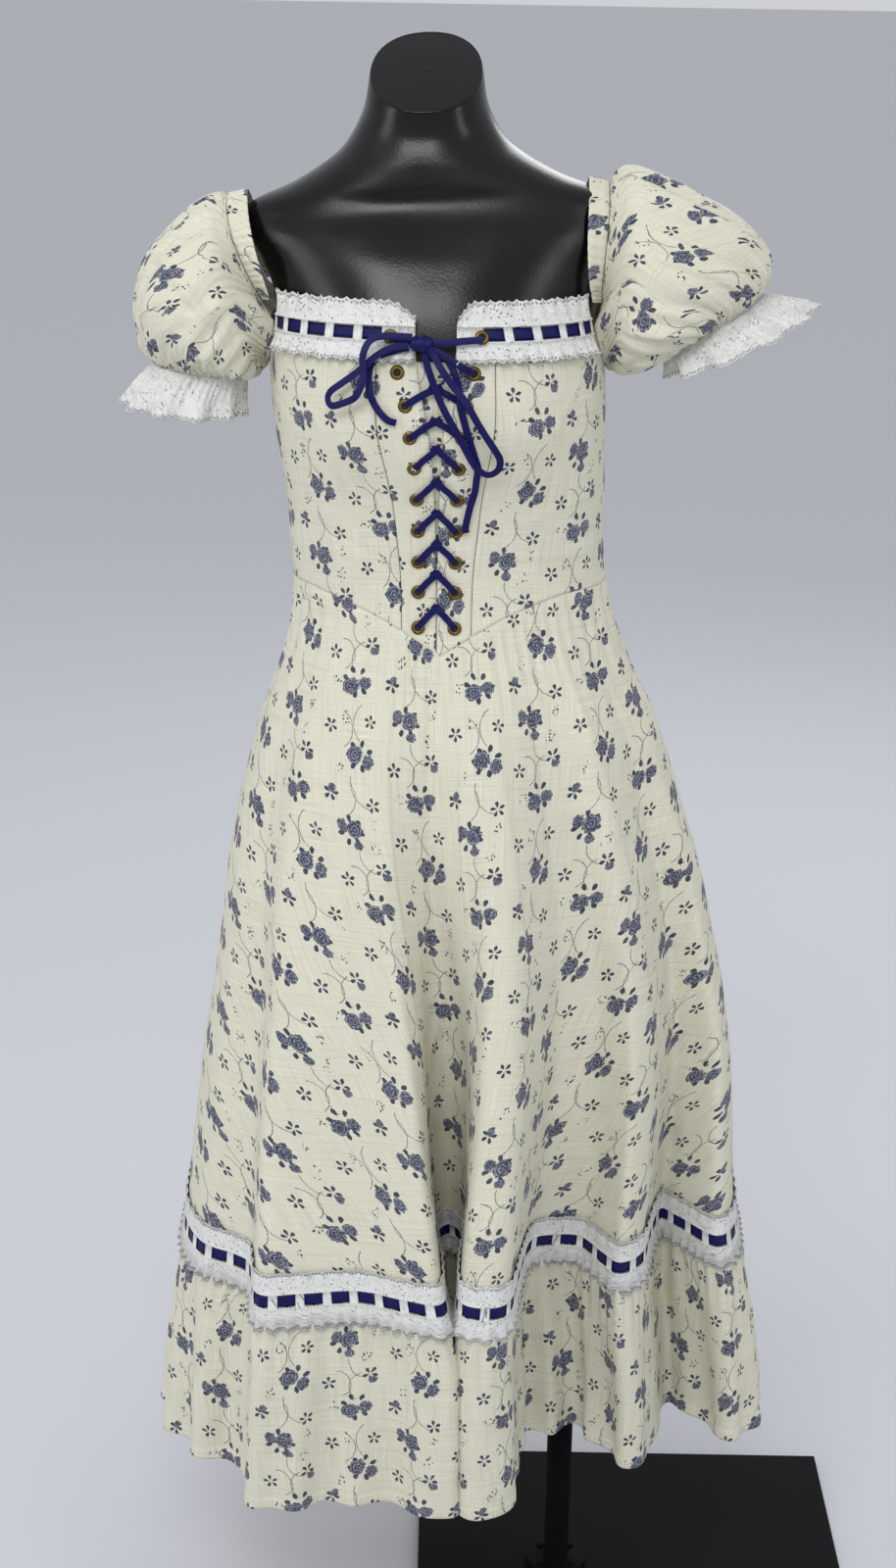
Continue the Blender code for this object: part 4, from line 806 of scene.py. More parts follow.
def buildForm(shell):
    turn = 2 * math.pi * np.arange(formShape["columns"]) / formShape["columns"]

    def ring(row):
        height, centreX, centreY, half, front, back, tilt = row
        reach = oval(turn, half, np.where(np.cos(turn) > 0, front, back))
        across, along = reach * np.sin(turn), -reach * np.cos(turn)
        lean = formShape["lean"] * min(max((height - formShape["leanHeight"]) / 0.04, 0.0), 1.0)
        slope = math.radians(tilt)
        lift = along * math.sin(slope) + across * lean
        return np.column_stack([centreX + across, centreY + along * math.cos(slope), height + lift])

    angle = np.where(turn <= math.pi, turn, turn - 2 * math.pi)
    rings = [ring(row) for row in formShape["hips"]]
    for height in formShape["bodiceRows"]:
        level = np.full(len(angle), height)
        rings.append(bodicePoint(angle, level) - bodiceNormal(angle, level) * formShape["ease"])
    rings += [ring(row) for row in formShape["neck"]]
    count = len(turn)
    grid = smoothRun(np.array(rings).reshape(len(rings), -1), 6).reshape(-1, count, 3)[::-1]
    # a small round at the neck's edge and under the hips
    middle = grid[0].mean(axis=0)
    cap = []
    for share, rise in ((0.02, 0.0004), (0.5, 0.0004), (0.97, 0.0002)):
        cap.append(middle + (grid[0] - middle) * share + (0, 0, rise))
    base = grid[-1].mean(axis=0)
    under = [base + (grid[-1] - base) * share for share in (0.96, 0.5, 0.02)]
    grid = np.concatenate([np.array(cap), grid, np.array(under)])
    faces = gridFaces(len(grid), count, True)
    points = grid.reshape(-1, 3)
    form = addPiece("dress_form_shell", points, faces, points[:, [0, 2]], shell)
    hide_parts("dress_form")


skirtShape = {
    # x from the skirt's centre, y, and how freely the flounce may gather there
    "front": (
        (-0.261, 0.000, 1.0),  # left side
        (-0.258, -0.080, 1.0),
        (-0.238, -0.132, 0.8),  # rounded crest
        (-0.207, -0.153, 0.5),
        (-0.190, -0.172, 0.2),  # tucked behind the next crest
        (-0.180, -0.224, 0.5),  # left edge of the broad front crest
        (-0.144, -0.223, 1.0),
        (-0.092, -0.216, 1.0),
        (-0.046, -0.232, 0.8),
        (-0.018, -0.236, 0.2),  # its right edge
        (-0.0165, -0.190, 0.0),
        (-0.026, -0.115, 0.1),
        (-0.012, -0.088, 0.1),  # bottom of the deep middle fold
        (0.004, -0.115, 0.1),
        (-0.0015, -0.190, 0.0),
        (0.000, -0.232, 0.2),  # narrow crest
        (0.022, -0.242, 0.5),
        (0.041, -0.228, 0.3),
        (0.050, -0.170, 0.2),
        (0.062, -0.117, 0.5),  # set back, right of the middle
        (0.087, -0.105, 1.0),
        (0.112, -0.108, 0.8),
        (0.131, -0.138, 0.4),
        (0.145, -0.156, 0.4),  # small crest
        (0.165, -0.135, 0.4),
        (0.176, -0.085, 0.2),
        (0.189, -0.050, 0.3),  # tucked behind it
        (0.208, -0.068, 0.6),
        (0.238, -0.103, 0.8),  # right crest
        (0.257, -0.072, 1.0),
        (0.261, 0.000, 1.0),  # right side
    ),
    "back": (
        (0.261, 0.000, 1.0),
        (0.258, 0.070, 1.0),
        (0.236, 0.118, 0.8),
        (0.202, 0.122, 0.6),  # valley
        (0.182, 0.160, 0.6),
        (0.158, 0.203, 0.8),  # crest
        (0.124, 0.196, 0.6),
        (0.103, 0.150, 0.5),  # valley
        (0.078, 0.158, 0.6),
        (0.056, 0.212, 0.8),  # crest
        (0.022, 0.222, 0.8),
        (-0.006, 0.176, 0.5),
        (-0.028, 0.140, 0.5),  # valley
        (-0.052, 0.168, 0.6),
        (-0.082, 0.215, 0.8),  # crest
        (-0.118, 0.196, 0.6),
        (-0.136, 0.142, 0.5),  # valley
        (-0.164, 0.132, 0.6),
        (-0.196, 0.164, 0.8),  # crest
        (-0.226, 0.138, 0.8),
        (-0.250, 0.086, 1.0),
        (-0.261, 0.000, 1.0),
    ),
    "slots": (54, 38),
    "foldLevel": 0.434,
    "growth": 0.95,
    "limit": 1.12,
    "laceLine": 0.476,
    "seam": 0.418,
    "share": 6,  # columns to a slot
    "rows": (72, 9),  # down to the lace, and behind it
    "gathers": 31,  # along each half of the waist seam
    "tuck": 0.0022,  # of the top edge, up behind the bodice
}


# Front and back columns, so many to a slot: x, y, gather and the angle at the waist
def skirtColumns(share):
    halves = []
    for key, slots, start in (("front", skirtShape["slots"][0], -1), ("back", skirtShape["slots"][1], 1)):
        run = evenRun(skirtShape[key], slots * share)
        turn = start * math.pi / 2 + math.pi * np.arange(len(run)) / (len(run) - 1)
        halves.append(np.column_stack([run, turn]))
    return halves


def skirtPoint(columns, height):
    x, y, _, turn = columns.T
    angle = np.where(turn <= math.pi, turn, turn - 2 * math.pi)
    height = np.broadcast_to(height, angle.shape)
    centre, half, front, back = tableAt(dressCuts, height)
    foldWidth, foldFront, foldBack = tableAt(dressCuts, skirtShape["foldLevel"])[1:]
    waist = waistHeight(angle)
    fold = np.clip(
        (waist - height) / (waist - skirtShape["foldLevel"]), 0.0, skirtShape["limit"]
    ) ** skirtShape["growth"]
    flatDepth = np.where(np.abs(angle) < math.pi / 2 + 1e-9, front, back)
    reach = oval(angle, half, flatDepth)
    flatX, flatY = reach * np.sin(angle) / half, -reach * np.cos(angle) / flatDepth
    placeX = flatX + (x / foldWidth - flatX) * fold
    placeY = flatY + (y / np.where(y < 0, foldFront, foldBack) - flatY) * fold
    depth = np.where(placeY < 0, front, back)
    return np.stack([centre + half * placeX, depth * placeY, height], -1)


# UVs in metres: along each row from its middle column, and down each column
def clothLengths(grid, shiftX=0.0, shiftY=0.0):
    across = np.linalg.norm(np.diff(grid, axis=1), axis=2)
    u = np.concatenate([np.zeros((len(grid), 1)), np.cumsum(across, axis=1)], axis=1)
    u = u - u[:, u.shape[1] // 2][:, None]
    down = np.linalg.norm(np.diff(grid, axis=0), axis=2)
    v = grid[:1, :, 2] - np.concatenate([np.zeros((1, grid.shape[1])), np.cumsum(down, axis=0)])
    return np.stack([u + shiftX, v + shiftY], -1)


# Creases of the skirt: from share of the width and height to the same, width in share, mm out
skirtCreases = {
    "front": (
        (0.40, 0.60, 0.47, 0.74, 0.012, 1.8),
        (0.36, 0.56, 0.45, 0.66, 0.010, -1.4),
        (0.33, 0.95, 0.36, 0.60, 0.012, 1.6),
        (0.44, 0.98, 0.43, 0.70, 0.010, -1.5),
        (0.50, 0.97, 0.51, 0.76, 0.008, 1.8),
        (0.58, 0.99, 0.62, 0.66, 0.012, 1.4),
        (0.66, 1.01, 0.70, 0.70, 0.012, -1.6),
        (0.77, 1.02, 0.80, 0.62, 0.014, 1.4),
        (0.86, 1.03, 0.88, 0.76, 0.012, 1.2),
        (0.24, 1.02, 0.26, 0.62, 0.014, 1.4),
        (0.12, 1.03, 0.15, 0.70, 0.012, -1.3),
        (0.30, 0.50, 0.40, 0.53, 0.010, 1.2),
        (0.62, 0.52, 0.74, 0.60, 0.012, 1.0),
    ),
    "back": (
        (0.20, 1.03, 0.22, 0.62, 0.014, 1.5),
        (0.35, 1.03, 0.33, 0.55, 0.014, -1.6),
        (0.52, 1.03, 0.50, 0.70, 0.012, 1.6),
        (0.66, 1.03, 0.70, 0.60, 0.014, 1.4),
        (0.82, 1.03, 0.80, 0.66, 0.014, -1.3),
    ),
}


def buildSkirt(cloth):
    laceLine = skirtShape["laceLine"]
    for name, columns in zip(("front", "back"), skirtColumns(skirtShape["share"])):
        turn = columns[:, 3]
        angle = np.where(turn <= math.pi, turn, turn - 2 * math.pi)
        top = waistHeight(angle) - 0.0003
        upper, lower = skirtShape["rows"]
        rows = [skirtPoint(columns, top + (laceLine - top) * part) for part in np.linspace(0, 1, upper)]
        for height in np.linspace(laceLine, skirtShape["seam"], lower)[1:]:
            rows.append(skirtPoint(columns, height))
        grid = np.array(rows)
        across = np.broadcast_to(np.linspace(0, 1, grid.shape[1]), grid.shape[:2])
        normals = gridNormals(grid)
        field = 0.001 * creaseField(across, grid[..., 2], skirtCreases[name])
        # fine gathers let into the waist seam
        below = top[None] - grid[..., 2]
        gathers = np.sin(across * 2 * math.pi * skirtShape["gathers"] + 2.4 * np.sin(across * 17))
        field = field + 0.0010 * gathers * np.exp(-((below / 0.075) ** 2)) * np.clip(below / 0.01, 0, 1)
        field = field + 0.0013 * unevenness(grid, 0.055, 3.1)
        calm = np.clip((grid[..., 2] - 0.425) / 0.06, 0.12, 1) * np.clip(below / 0.012, 0, 1)
        grid = grid + normals * (field * calm)[..., None]
        # the allowance goes up behind the bodice's edge
        grid = np.concatenate([grid[:1] - normals[:1] * 0.0012 + (0, 0, skirtShape["tuck"]), grid])
        uv = clothLengths(grid, 0.011, 0.036)
        item = addCloth(f"skirt_{name}_cloth", grid, uv, cloth, clothWall["panel"])
        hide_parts(f"skirt_{name}")
        declareCloth(grid)


# Closes a copy of the grid round when the piece is a tube; nothing is kept or returned
def declareCloth(grid, closed=False):
    if closed:
        grid = np.concatenate([grid, grid[:, :1]], axis=1)


flounceShape = {
    "share": 12,  # columns to a slot
    "top": 0.4172,
    "turnUp": 0.232,  # top of the turned hem
    "hem": 0.222,
    "waves": 46,
    "fineWaves": 150,
    "waveSize": 0.0105,
}


def flounceWave(turn):
    drift = 0.33 * np.sin(2 * math.pi * 3 * turn) + 0.21 * np.sin(2 * math.pi * 7 * turn + 1.1)
    size = 0.78 + 0.22 * np.sin(2 * math.pi * 5 * turn + 0.6)
    return size * np.sin(2 * math.pi * (flounceShape["waves"] * turn + drift))


def buildFlounce(cloth):
    share, top, hem = (flounceShape[key] for key in ("share", "top", "hem"))
    total = sum(skirtShape["slots"]) * share
    first = 0
    for name, columns in zip(("front", "back"), skirtColumns(share)):
        around = (first + np.arange(len(columns))) / total
        first += len(columns) - 1
        wave = flounceWave(around) * columns[:, 2]
        drift = 0.8 * np.sin(2 * math.pi * 11 * around)
        fineWave = np.sin(2 * math.pi * (flounceShape["fineWaves"] * around + drift))
        heights = (np.linspace(top, 0.234, 30), (0.2325, 0.2315, 0.2300), np.linspace(0.228, hem, 4))
        rows = []
        for height in np.concatenate(heights):
            points = skirtPoint(columns, height)
            normals = levelNormals(points)
            size = np.interp(height, (hem, 0.345, top), (1.0, 0.5, 0.0))
            under = top - height
            fineSize = 0.0016 * math.exp(-((under / 0.05) ** 2)) * min(under / 0.006, 1.0)
            hemFold = 0.0007 if height < flounceShape["turnUp"] else 0.0
            seam = 0.0012 * min(under / 0.004, 1.0)
            out = wave * flounceShape["waveSize"] * size + fineWave * fineSize + hemFold + seam
            rows.append(points + normals * out[:, None])
        grid = np.array(rows)
        uneven = 0.0012 * unevenness(grid, 0.03, 7.7) * np.clip((0.41 - grid[..., 2]) / 0.03, 0, 1)
        grid = grid + gridNormals(grid) * uneven[..., None]
        uv = clothLengths(grid, 0.02, 0.09)
        item = addCloth(f"flounce_{name}_cloth", grid, uv, cloth, clothWall["panel"])
        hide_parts(f"flounce_{name}")
        declareCloth(grid)


laceShape = {
    # of a slot's pitch, in fiftieths: a slot runs from 8 to 42
    "steps": (0, 3, 5, 8, 12, 15, 19, 22, 25, 28, 31, 35, 38, 42, 45, 47),
    "pitch": 50,
    "slot": (8, 42),
    "clear": 0.0018,
    "slotRow": 9,
    "lastSlotSide": 12,  # rows after this one are the lower ruffle
    # low edge, low and high end of the slots, top edge
    "hem": (0.407, 0.4290, 0.4405, 0.461),
    "neck": (1.2495, 1.2680, 1.2790, 1.300),
    "hemRibbon": (0.4397, 0.4298),
    "neckRibbon": (1.2782, 1.2688),
}


# Heights from the top: ruffle, worked rim, slot, worked rim, ruffle; and how far each stands out in mm
def laceRows(low, slotLow, slotTop, top):
    heights, outs = [], []
    for part in np.linspace(0, 1, 7):
        heights.append(top + (slotTop + 0.0022 - top) * part)
        outs.append(0.5 * (1 - part) ** 1.5)
    heights += [slotTop + 0.0012, slotTop + 0.0004, slotTop]
    outs += [0.5, 0.6, 0.1]
    heights += [slotLow, slotLow - 0.0004, slotLow - 0.0012]
    outs += [0.1, 0.6, 0.5]
    for part in np.linspace(0, 1, 8):
        heights.append(slotLow - 0.0022 + (low - slotLow + 0.0022) * part)
        outs.append(2.4 * part**1.5)
    return np.array(heights), np.array(outs)


# UVs in metres whose second value counts in from the nearer long edge
def edgeLengths(grid):
    uv = clothLengths(grid)
    top, low = uv[:1, :, 1], uv[-1:, :, 1]
    uv[..., 1] = np.minimum(top - uv[..., 1], uv[..., 1] - low)
    return uv


# The band with its slots left open
def addLace(name, grid, isSlot, lace):
    rows, columns = grid.shape[:2]
    faces = []
    for row in range(rows - 1):
        for column in range(columns - 1):
            if row == laceShape["slotRow"] and isSlot[column]:
                continue
            a, b = row * columns, (row + 1) * columns
            faces.append((a + column, b + column, b + column + 1, a + column + 1))
    uv = edgeLengths(grid).reshape(-1, 2)
    item = addPiece(f"{name}_band", grid.reshape(-1, 3), faces, uv, lace)
    thicken(item, clothWall["lace"])
    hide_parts(name)
    return item


def buildHemLace(lace, satin):
    heights, outs = laceRows(*laceShape["hem"])
    steps, pitch = np.array(laceShape["steps"]), laceShape["pitch"]
    slotStart, slotEnd = laceShape["slot"]
    for name, columns, slots in zip(("front", "back"), skirtColumns(pitch), skirtShape["slots"]):
        picks = np.concatenate([slot * pitch + steps for slot in range(slots)] + [[slots * pitch]])
        isSlot = [slotStart <= pick % pitch < slotEnd for pick in picks[:-1]]
        chosen = columns[picks]
        grid = []
        around = picks / pitch
        wave = np.sin(2 * math.pi * (2 * around + 0.25 * np.sin(around * 1.3)))
        other = np.sin(2 * math.pi * (1.5 * around + 0.3 * np.sin(around * 0.9)) + 1.0)
        for index, (height, out) in enumerate(zip(heights, outs)):
            points = skirtPoint(chosen, height)
            normals = levelNormals(points)
            below = index > laceShape["lastSlotSide"]
            toEdge = out / 2.4 if below else 0.5 * out / 0.5 * (index < 6)
            ruffle = (2.6 * wave if below else 2.2 * other) * toEdge
            points = points + normals * ((laceShape["clear"] * 1000 + 0.5 + out + ruffle) * 0.001)[:, None]
            scallop = {len(heights) - 1: 0.0018, 0: -0.0012}.get(index, 0.0)
            if scallop:
                points[:, 2] += scallop * np.abs(np.sin(4 * math.pi * around))
            grid.append(points)
        grid = np.array(grid)
        item = addLace(f"hem_lace_{name}", grid, isSlot, lace)
        declareCloth(grid)
        lines = []
        for height in np.linspace(*laceShape["hemRibbon"], 5):
            points = skirtPoint(chosen, height)
            normals = levelNormals(points)
            inSlot = np.clip((picks % pitch - slotStart) / (slotEnd - slotStart), 0, 1)
            bulge = np.sin(math.pi * inSlot)
            lines.append(points + normals * ((1.1 + 0.75 * bulge) * 0.001)[:, None])
        grid = np.array(lines)
        uv = clothLengths(grid)
        ribbon = addCloth(f"hem_ribbon_{name}_satin", grid, uv, satin, clothWall["ribbon"])
        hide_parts(f"hem_ribbon_{name}")


neckShape = {"turns": (19.5, 31.0, 42.5, 53.5, 63.0, 69.5), "dip": 0.014}


def buildNeckLace(lace, satin):
    heights, outs = laceRows(*laceShape["neck"])
    steps, pitch = np.array(laceShape["steps"]), laceShape["pitch"]
    slotStart, slotEnd = laceShape["slot"]
    slots = len(neckShape["turns"]) - 1
    picks = np.concatenate([slot * pitch + steps for slot in range(slots + 1)] + [[(slots + 1) * pitch]])
    isSlot = [pick >= pitch and slotStart <= pick % pitch < slotEnd for pick in picks[:-1]]
    around = picks / pitch
    for name, side in (("left", -1), ("right", 1)):
        start = float(tableAt(frontOpening, laceShape["neck"][2])[1]) - 0.001

        def angles(height):
            first = abs(float(frontAngle(side * start, height)))
            turns = [first] + [math.radians(turn) for turn in neckShape["turns"]]
            return side * np.interp(around, range(slots + 2), turns)

        def line(height, out, drop=0.0):
            level = np.full(len(around), height) - drop
            angle = angles(height)
            return bodicePoint(angle, level) + bodiceNormal(angle, level) * np.expand_dims(out, -1)

        wave = np.sin(2 * math.pi * (1.9 * around + 0.25 * np.sin(around * 2.1)) + side)
        other = np.sin(2 * math.pi * (1.6 * around + 0.3 * np.sin(around * 1.7)) + 1.0)
        grid = []
        for index, (height, out) in enumerate(zip(heights, outs)):
            below = index > laceShape["lastSlotSide"]
            toEdge = out / 2.4 if below else out / 0.5 * (index < 6)
            ruffle = (3.0 * wave if below else 2.4 * other) * toEdge
            upward = np.clip((height - 1.281) / 0.019, 0, 1)
            dip = neckShape["dip"] * np.clip(1 - around, 0, 1) ** 1.5 * upward
            edge = 0.0
            if index == len(heights) - 1:
                edge = -0.0034 * np.abs(np.sin(3.8 * math.pi * around))
            if index == 0:
                edge = 0.0030 * np.abs(np.sin(3.2 * math.pi * around)) - 0.0022
            lift = 3.1 + out * (1.6 if below else 3.6) + ruffle
            grid.append(line(height, lift * 0.001, dip + edge))
        grid = np.array(grid)
        if side < 0:
            grid = grid[:, ::-1]
        slotFlags = isSlot[::-1] if side < 0 else isSlot
        item = addLace(f"neck_lace_{name}", grid, slotFlags, lace)
        declareCloth(grid)
        inSlot = np.clip((picks % pitch - slotStart) / (slotEnd - slotStart), 0, 1)
        bulge = np.sin(math.pi * inSlot) * (picks >= pitch)
        ribbon = np.array(
            [line(height, (1.8 + 0.8 * bulge) * 0.001) for height in np.linspace(*laceShape["neckRibbon"], 5)]
        )
        ribbon = ribbon[:, picks >= pitch]
        if side < 0:
            ribbon = ribbon[:, ::-1]
        uv = clothLengths(ribbon)
        item = addCloth(f"neck_ribbon_{name}_satin", ribbon, uv, satin, clothWall["ribbon"])
        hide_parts(f"neck_ribbon_{name}")


# Creases of each panel: from share of the width and height to the same, width in share, mm out
bodiceCreases = {
    "front_panel_left": (
        (0.1, 0.15, 0.9, 0.22, 0.02, 0.5),
        (0.2, 0.45, 0.95, 0.38, 0.02, -0.5),
        (0.1, 0.62, 0.8, 0.55, 0.02, 0.4),
    ),
    "front_panel_right": (
        (0.1, 0.25, 0.9, 0.17, 0.02, 0.5),
        (0.05, 0.36, 0.9, 0.44, 0.02, 0.5),
        (0.2, 0.55, 0.9, 0.63, 0.02, -0.4),
    ),
    "side_panel_left": (
        (0.1, 0.12, 0.8, 0.20, 0.014, 0.9),
        (0.3, 0.28, 0.95, 0.20, 0.014, -0.8),
        (0.05, 0.36, 0.6, 0.42, 0.014, 0.8),
        (0.35, 0.85, 0.7, 0.60, 0.016, 0.9),
        (0.1, 0.75, 0.5, 0.62, 0.014, -0.8),
    ),
    "side_panel_right": (
        (0.1, 0.22, 0.7, 0.12, 0.014, 0.9),
        (0.2, 0.30, 0.95, 0.38, 0.014, 0.8),
        (0.5, 0.18, 0.95, 0.24, 0.014, -0.8),
        (0.3, 0.60, 0.65, 0.86, 0.016, 0.9),
        (0.55, 0.60, 0.95, 0.72, 0.014, -0.7),
    ),
    "back_panel": (
        (0.1, 0.2, 0.5, 0.3, 0.02, 0.8), (0.5, 0.35, 0.9, 0.25, 0.02, -0.8), (0.3, 0.6, 0.7, 0.7, 0.02, 0.7)
    ),
}


placketShape = {"reach": 0.028, "levels": (1.252, 1.025), "out": -0.0032}


def buildBodice(cloth):
    gap = 0.0002

    def frontEdge(side):
        return lambda height: frontAngle(side * tableAt(frontOpening, height)[1], height)

    def princess(side, shift):
        return lambda height: frontAngle(side * (tableAt(frontOpening, height)[3] + shift), height)

    def fixed(angle):
        return lambda height: angle

    half = math.pi / 2
    panels = (
        ("front_panel_left", princess(-1, -gap), frontEdge(-1), 40, 0.005),
        ("front_panel_right", frontEdge(1), princess(1, -gap), 40, -0.02),
        ("side_panel_left", fixed(-half), princess(-1, gap), 90, 0.03),
        ("side_panel_right", princess(1, gap), fixed(half), 90, -0.05),
        ("back_panel", fixed(half), fixed(3 * half), 160, 0.0),
    )
    for name, left, right, columns, shift in panels:
        across, part = np.meshgrid(np.linspace(0, 1, columns + 1), np.linspace(1, 0, 81))
        height = np.full(across.shape, 1.165)
        for _ in range(8):
            low, high = left(height), right(height)
            turn = low + (high - low) * across
            angle = np.where(turn > math.pi, turn - 2 * math.pi, turn)
            bottom = waistHeight(angle) + 0.0003
            if name == "back_panel":
                bottom = body["waistSide"] + 0.0003
            height = bottom + (neckHeight(angle) - bottom) * part
        grid = bodicePoint(angle, height)
        normals = bodiceNormal(angle, height)
        field = 0.001 * creaseField(across, part, bodiceCreases[name])
        field = field + 0.0006 * unevenness(grid, 0.03, 5.2)
        width = np.linalg.norm(np.diff(grid, axis=1), axis=2).sum(axis=1)[:, None]
        edge = np.minimum(across, 1 - across) * width
        # seams pull in, then the allowance inside lifts a narrow ridge beside them
        seam = -0.0007 * np.exp(-((edge / 0.0011) ** 2))
        ridge = 0.0003 * np.exp(-(((edge - 0.0045) / 0.0022) ** 2))
        field = field * np.clip(edge / 0.006, 0, 1) + seam + ridge
        grid = grid + normals * field[..., None]
        uv = clothLengths(grid, shift, 0.0)
        item = addCloth(f"{name}_cloth", grid, uv, cloth, clothWall["panel"])
        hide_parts(name)
    reach = placketShape["reach"]
    offsets, levels = np.meshgrid(np.linspace(-reach, reach, 29), np.linspace(*placketShape["levels"], 80))
    grid = frontPoint(offsets, levels, placketShape["out"] + 0.0004 * np.sin(levels * 260 + offsets * 40))
    uv = clothLengths(grid, 0.04, 0.05)
    item = addCloth("lacing_placket_cloth", grid, uv, cloth, clothWall["placket"])
    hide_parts("lacing_placket")


eyeletShape = {
    "rows": (
        (1.019, 0.0012),
        (1.050, 0.0013),
        (1.077, 0.0007),
        (1.105, 0.0006),
        (1.134, 0.0011),
        (1.162, 0.0003),
        (1.189, 0.0000),
        (1.216, 0.0001),
        (1.243, 0.0003),
        (1.271, 0.0059),  # set through the lace
    ),
    # radius and height in mm, from the hole's inside over the roll to the rim
    "profile": (
        (3.0, 0.1), (3.0, 0.9), (3.3, 1.3), (3.9, 1.5), (4.6, 1.35), (5.4, 0.9), (5.9, 0.35), (6.1, 0.0)
    ),
    "holeShade": "#2A2418",
    "ribbon": 0.0060,  # as it lies, a little narrower than its 6.6 mm
}


def buildEyelets(brass, shade):
    for name, side in (("left", -1), ("right", 1)):
        points, faces, dark = [], [], []
        for height, out in eyeletShape["rows"]:
            offset = float(tableAt(frontOpening, height)[2])
            place = frontPoint(side * offset, height, out)
            normal = Vector(bodiceNormal(frontAngle(side * offset, height), height))
            turn = np.array(normal.to_track_quat("Z", "Y").to_matrix())
            ring, ringFaces = lathe([(r / 1000, z / 1000) for r, z in eyeletShape["profile"]], 40)
            start = len(points)
            points += list(ring @ turn.T + place)
            faces += [tuple(start + i for i in face) for face in ringFaces]
            dark.append(len(faces))
            faces.append(tuple(start + i for i in range(40)))
        points = np.array(points)
        item = addPiece(f"eyelets_{name}_brass", points, faces, points[:, [0, 2]], brass)
        item.data.materials.append(shade)
        for index in dark:
            item.data.polygons[index].material_index = 1
        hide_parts(*[f"eyelet_{name}_{row + 1:02d}" for row in range(len(eyeletShape["rows"]))])


# A strip of ribbon along a route, 5 points wide, with rounded edges when cupped
def ribbonGrid(route, normals, width, cup=0.0, twist=None):
    route, normals = np.array(route), np.array(normals)
    along = unit(np.gradient(route, axis=0))
    across = unit(np.cross(normals, along))
    if twist is not None:
        lift = unit(np.cross(along, across))
        across = across * np.cos(twist)[:, None] + lift * np.sin(twist)[:, None]
    lift = unit(np.cross(along, across))
    shares = (-0.5, -0.25, 0.0, 0.25, 0.5)
    lines = [route + across * width * share + lift * cup * (1 - (2 * share) ** 2) for share in shares]
    return np.array(lines)


def routeGrid(rows, width, cup=0.0002, twist=None, steps=8):
    run = smoothRun(rows, steps)
    points = frontPoint(run[:, 0], run[:, 1], run[:, 2])
    normals = bodiceNormal(frontAngle(run[:, 0], run[:, 1]), run[:, 1])
    wobble = 0.0004 * np.sin(np.arange(len(run)) * 0.37 + rows[0][0] * 900)
    return ribbonGrid(points + normals * wobble[:, None], normals, width, cup, twist), points


def buildLacing(satin):
    width = eyeletShape["ribbon"]
    for row, (height, out) in enumerate(eyeletShape["rows"][:-2]):
        offset = float(tableAt(frontOpening, height)[2])
        tip = height + 0.017 * (1.0 if row < 6 else 0.85)
        points, faces, uvs = [], [], []
        for side in (-1, 1):
            over = 0.0004 if (row + (side > 0)) % 2 else -0.0002
            rows = []
            for part in np.linspace(1.0, -0.22, 15):
                level = tip + (height - tip) * part + 0.0012 * math.sin(part * 3)
                clear = 0.0024 - 0.0006 * (1 - abs(part)) - 0.0021 * max(part - 0.86, 0) / 0.14
                rows.append((side * part * offset, level, out + clear + over * (part < 0.5)))
            grid, _ = routeGrid(rows, width * (0.97 if side > 0 else 1.0), 0.0002, None, 2)
            start = len(points)
            lines, columns = grid.shape[:2]
            points += list(grid.reshape(-1, 3))
            uvs += list(clothLengths(grid).reshape(-1, 2))
            faces += gridFaces(lines, columns, False, start)
        item = addPiece(f"lacing_{row + 1:02d}_satin", points, faces, uvs, satin)
        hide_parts(f"lacing_{row + 1:02d}")


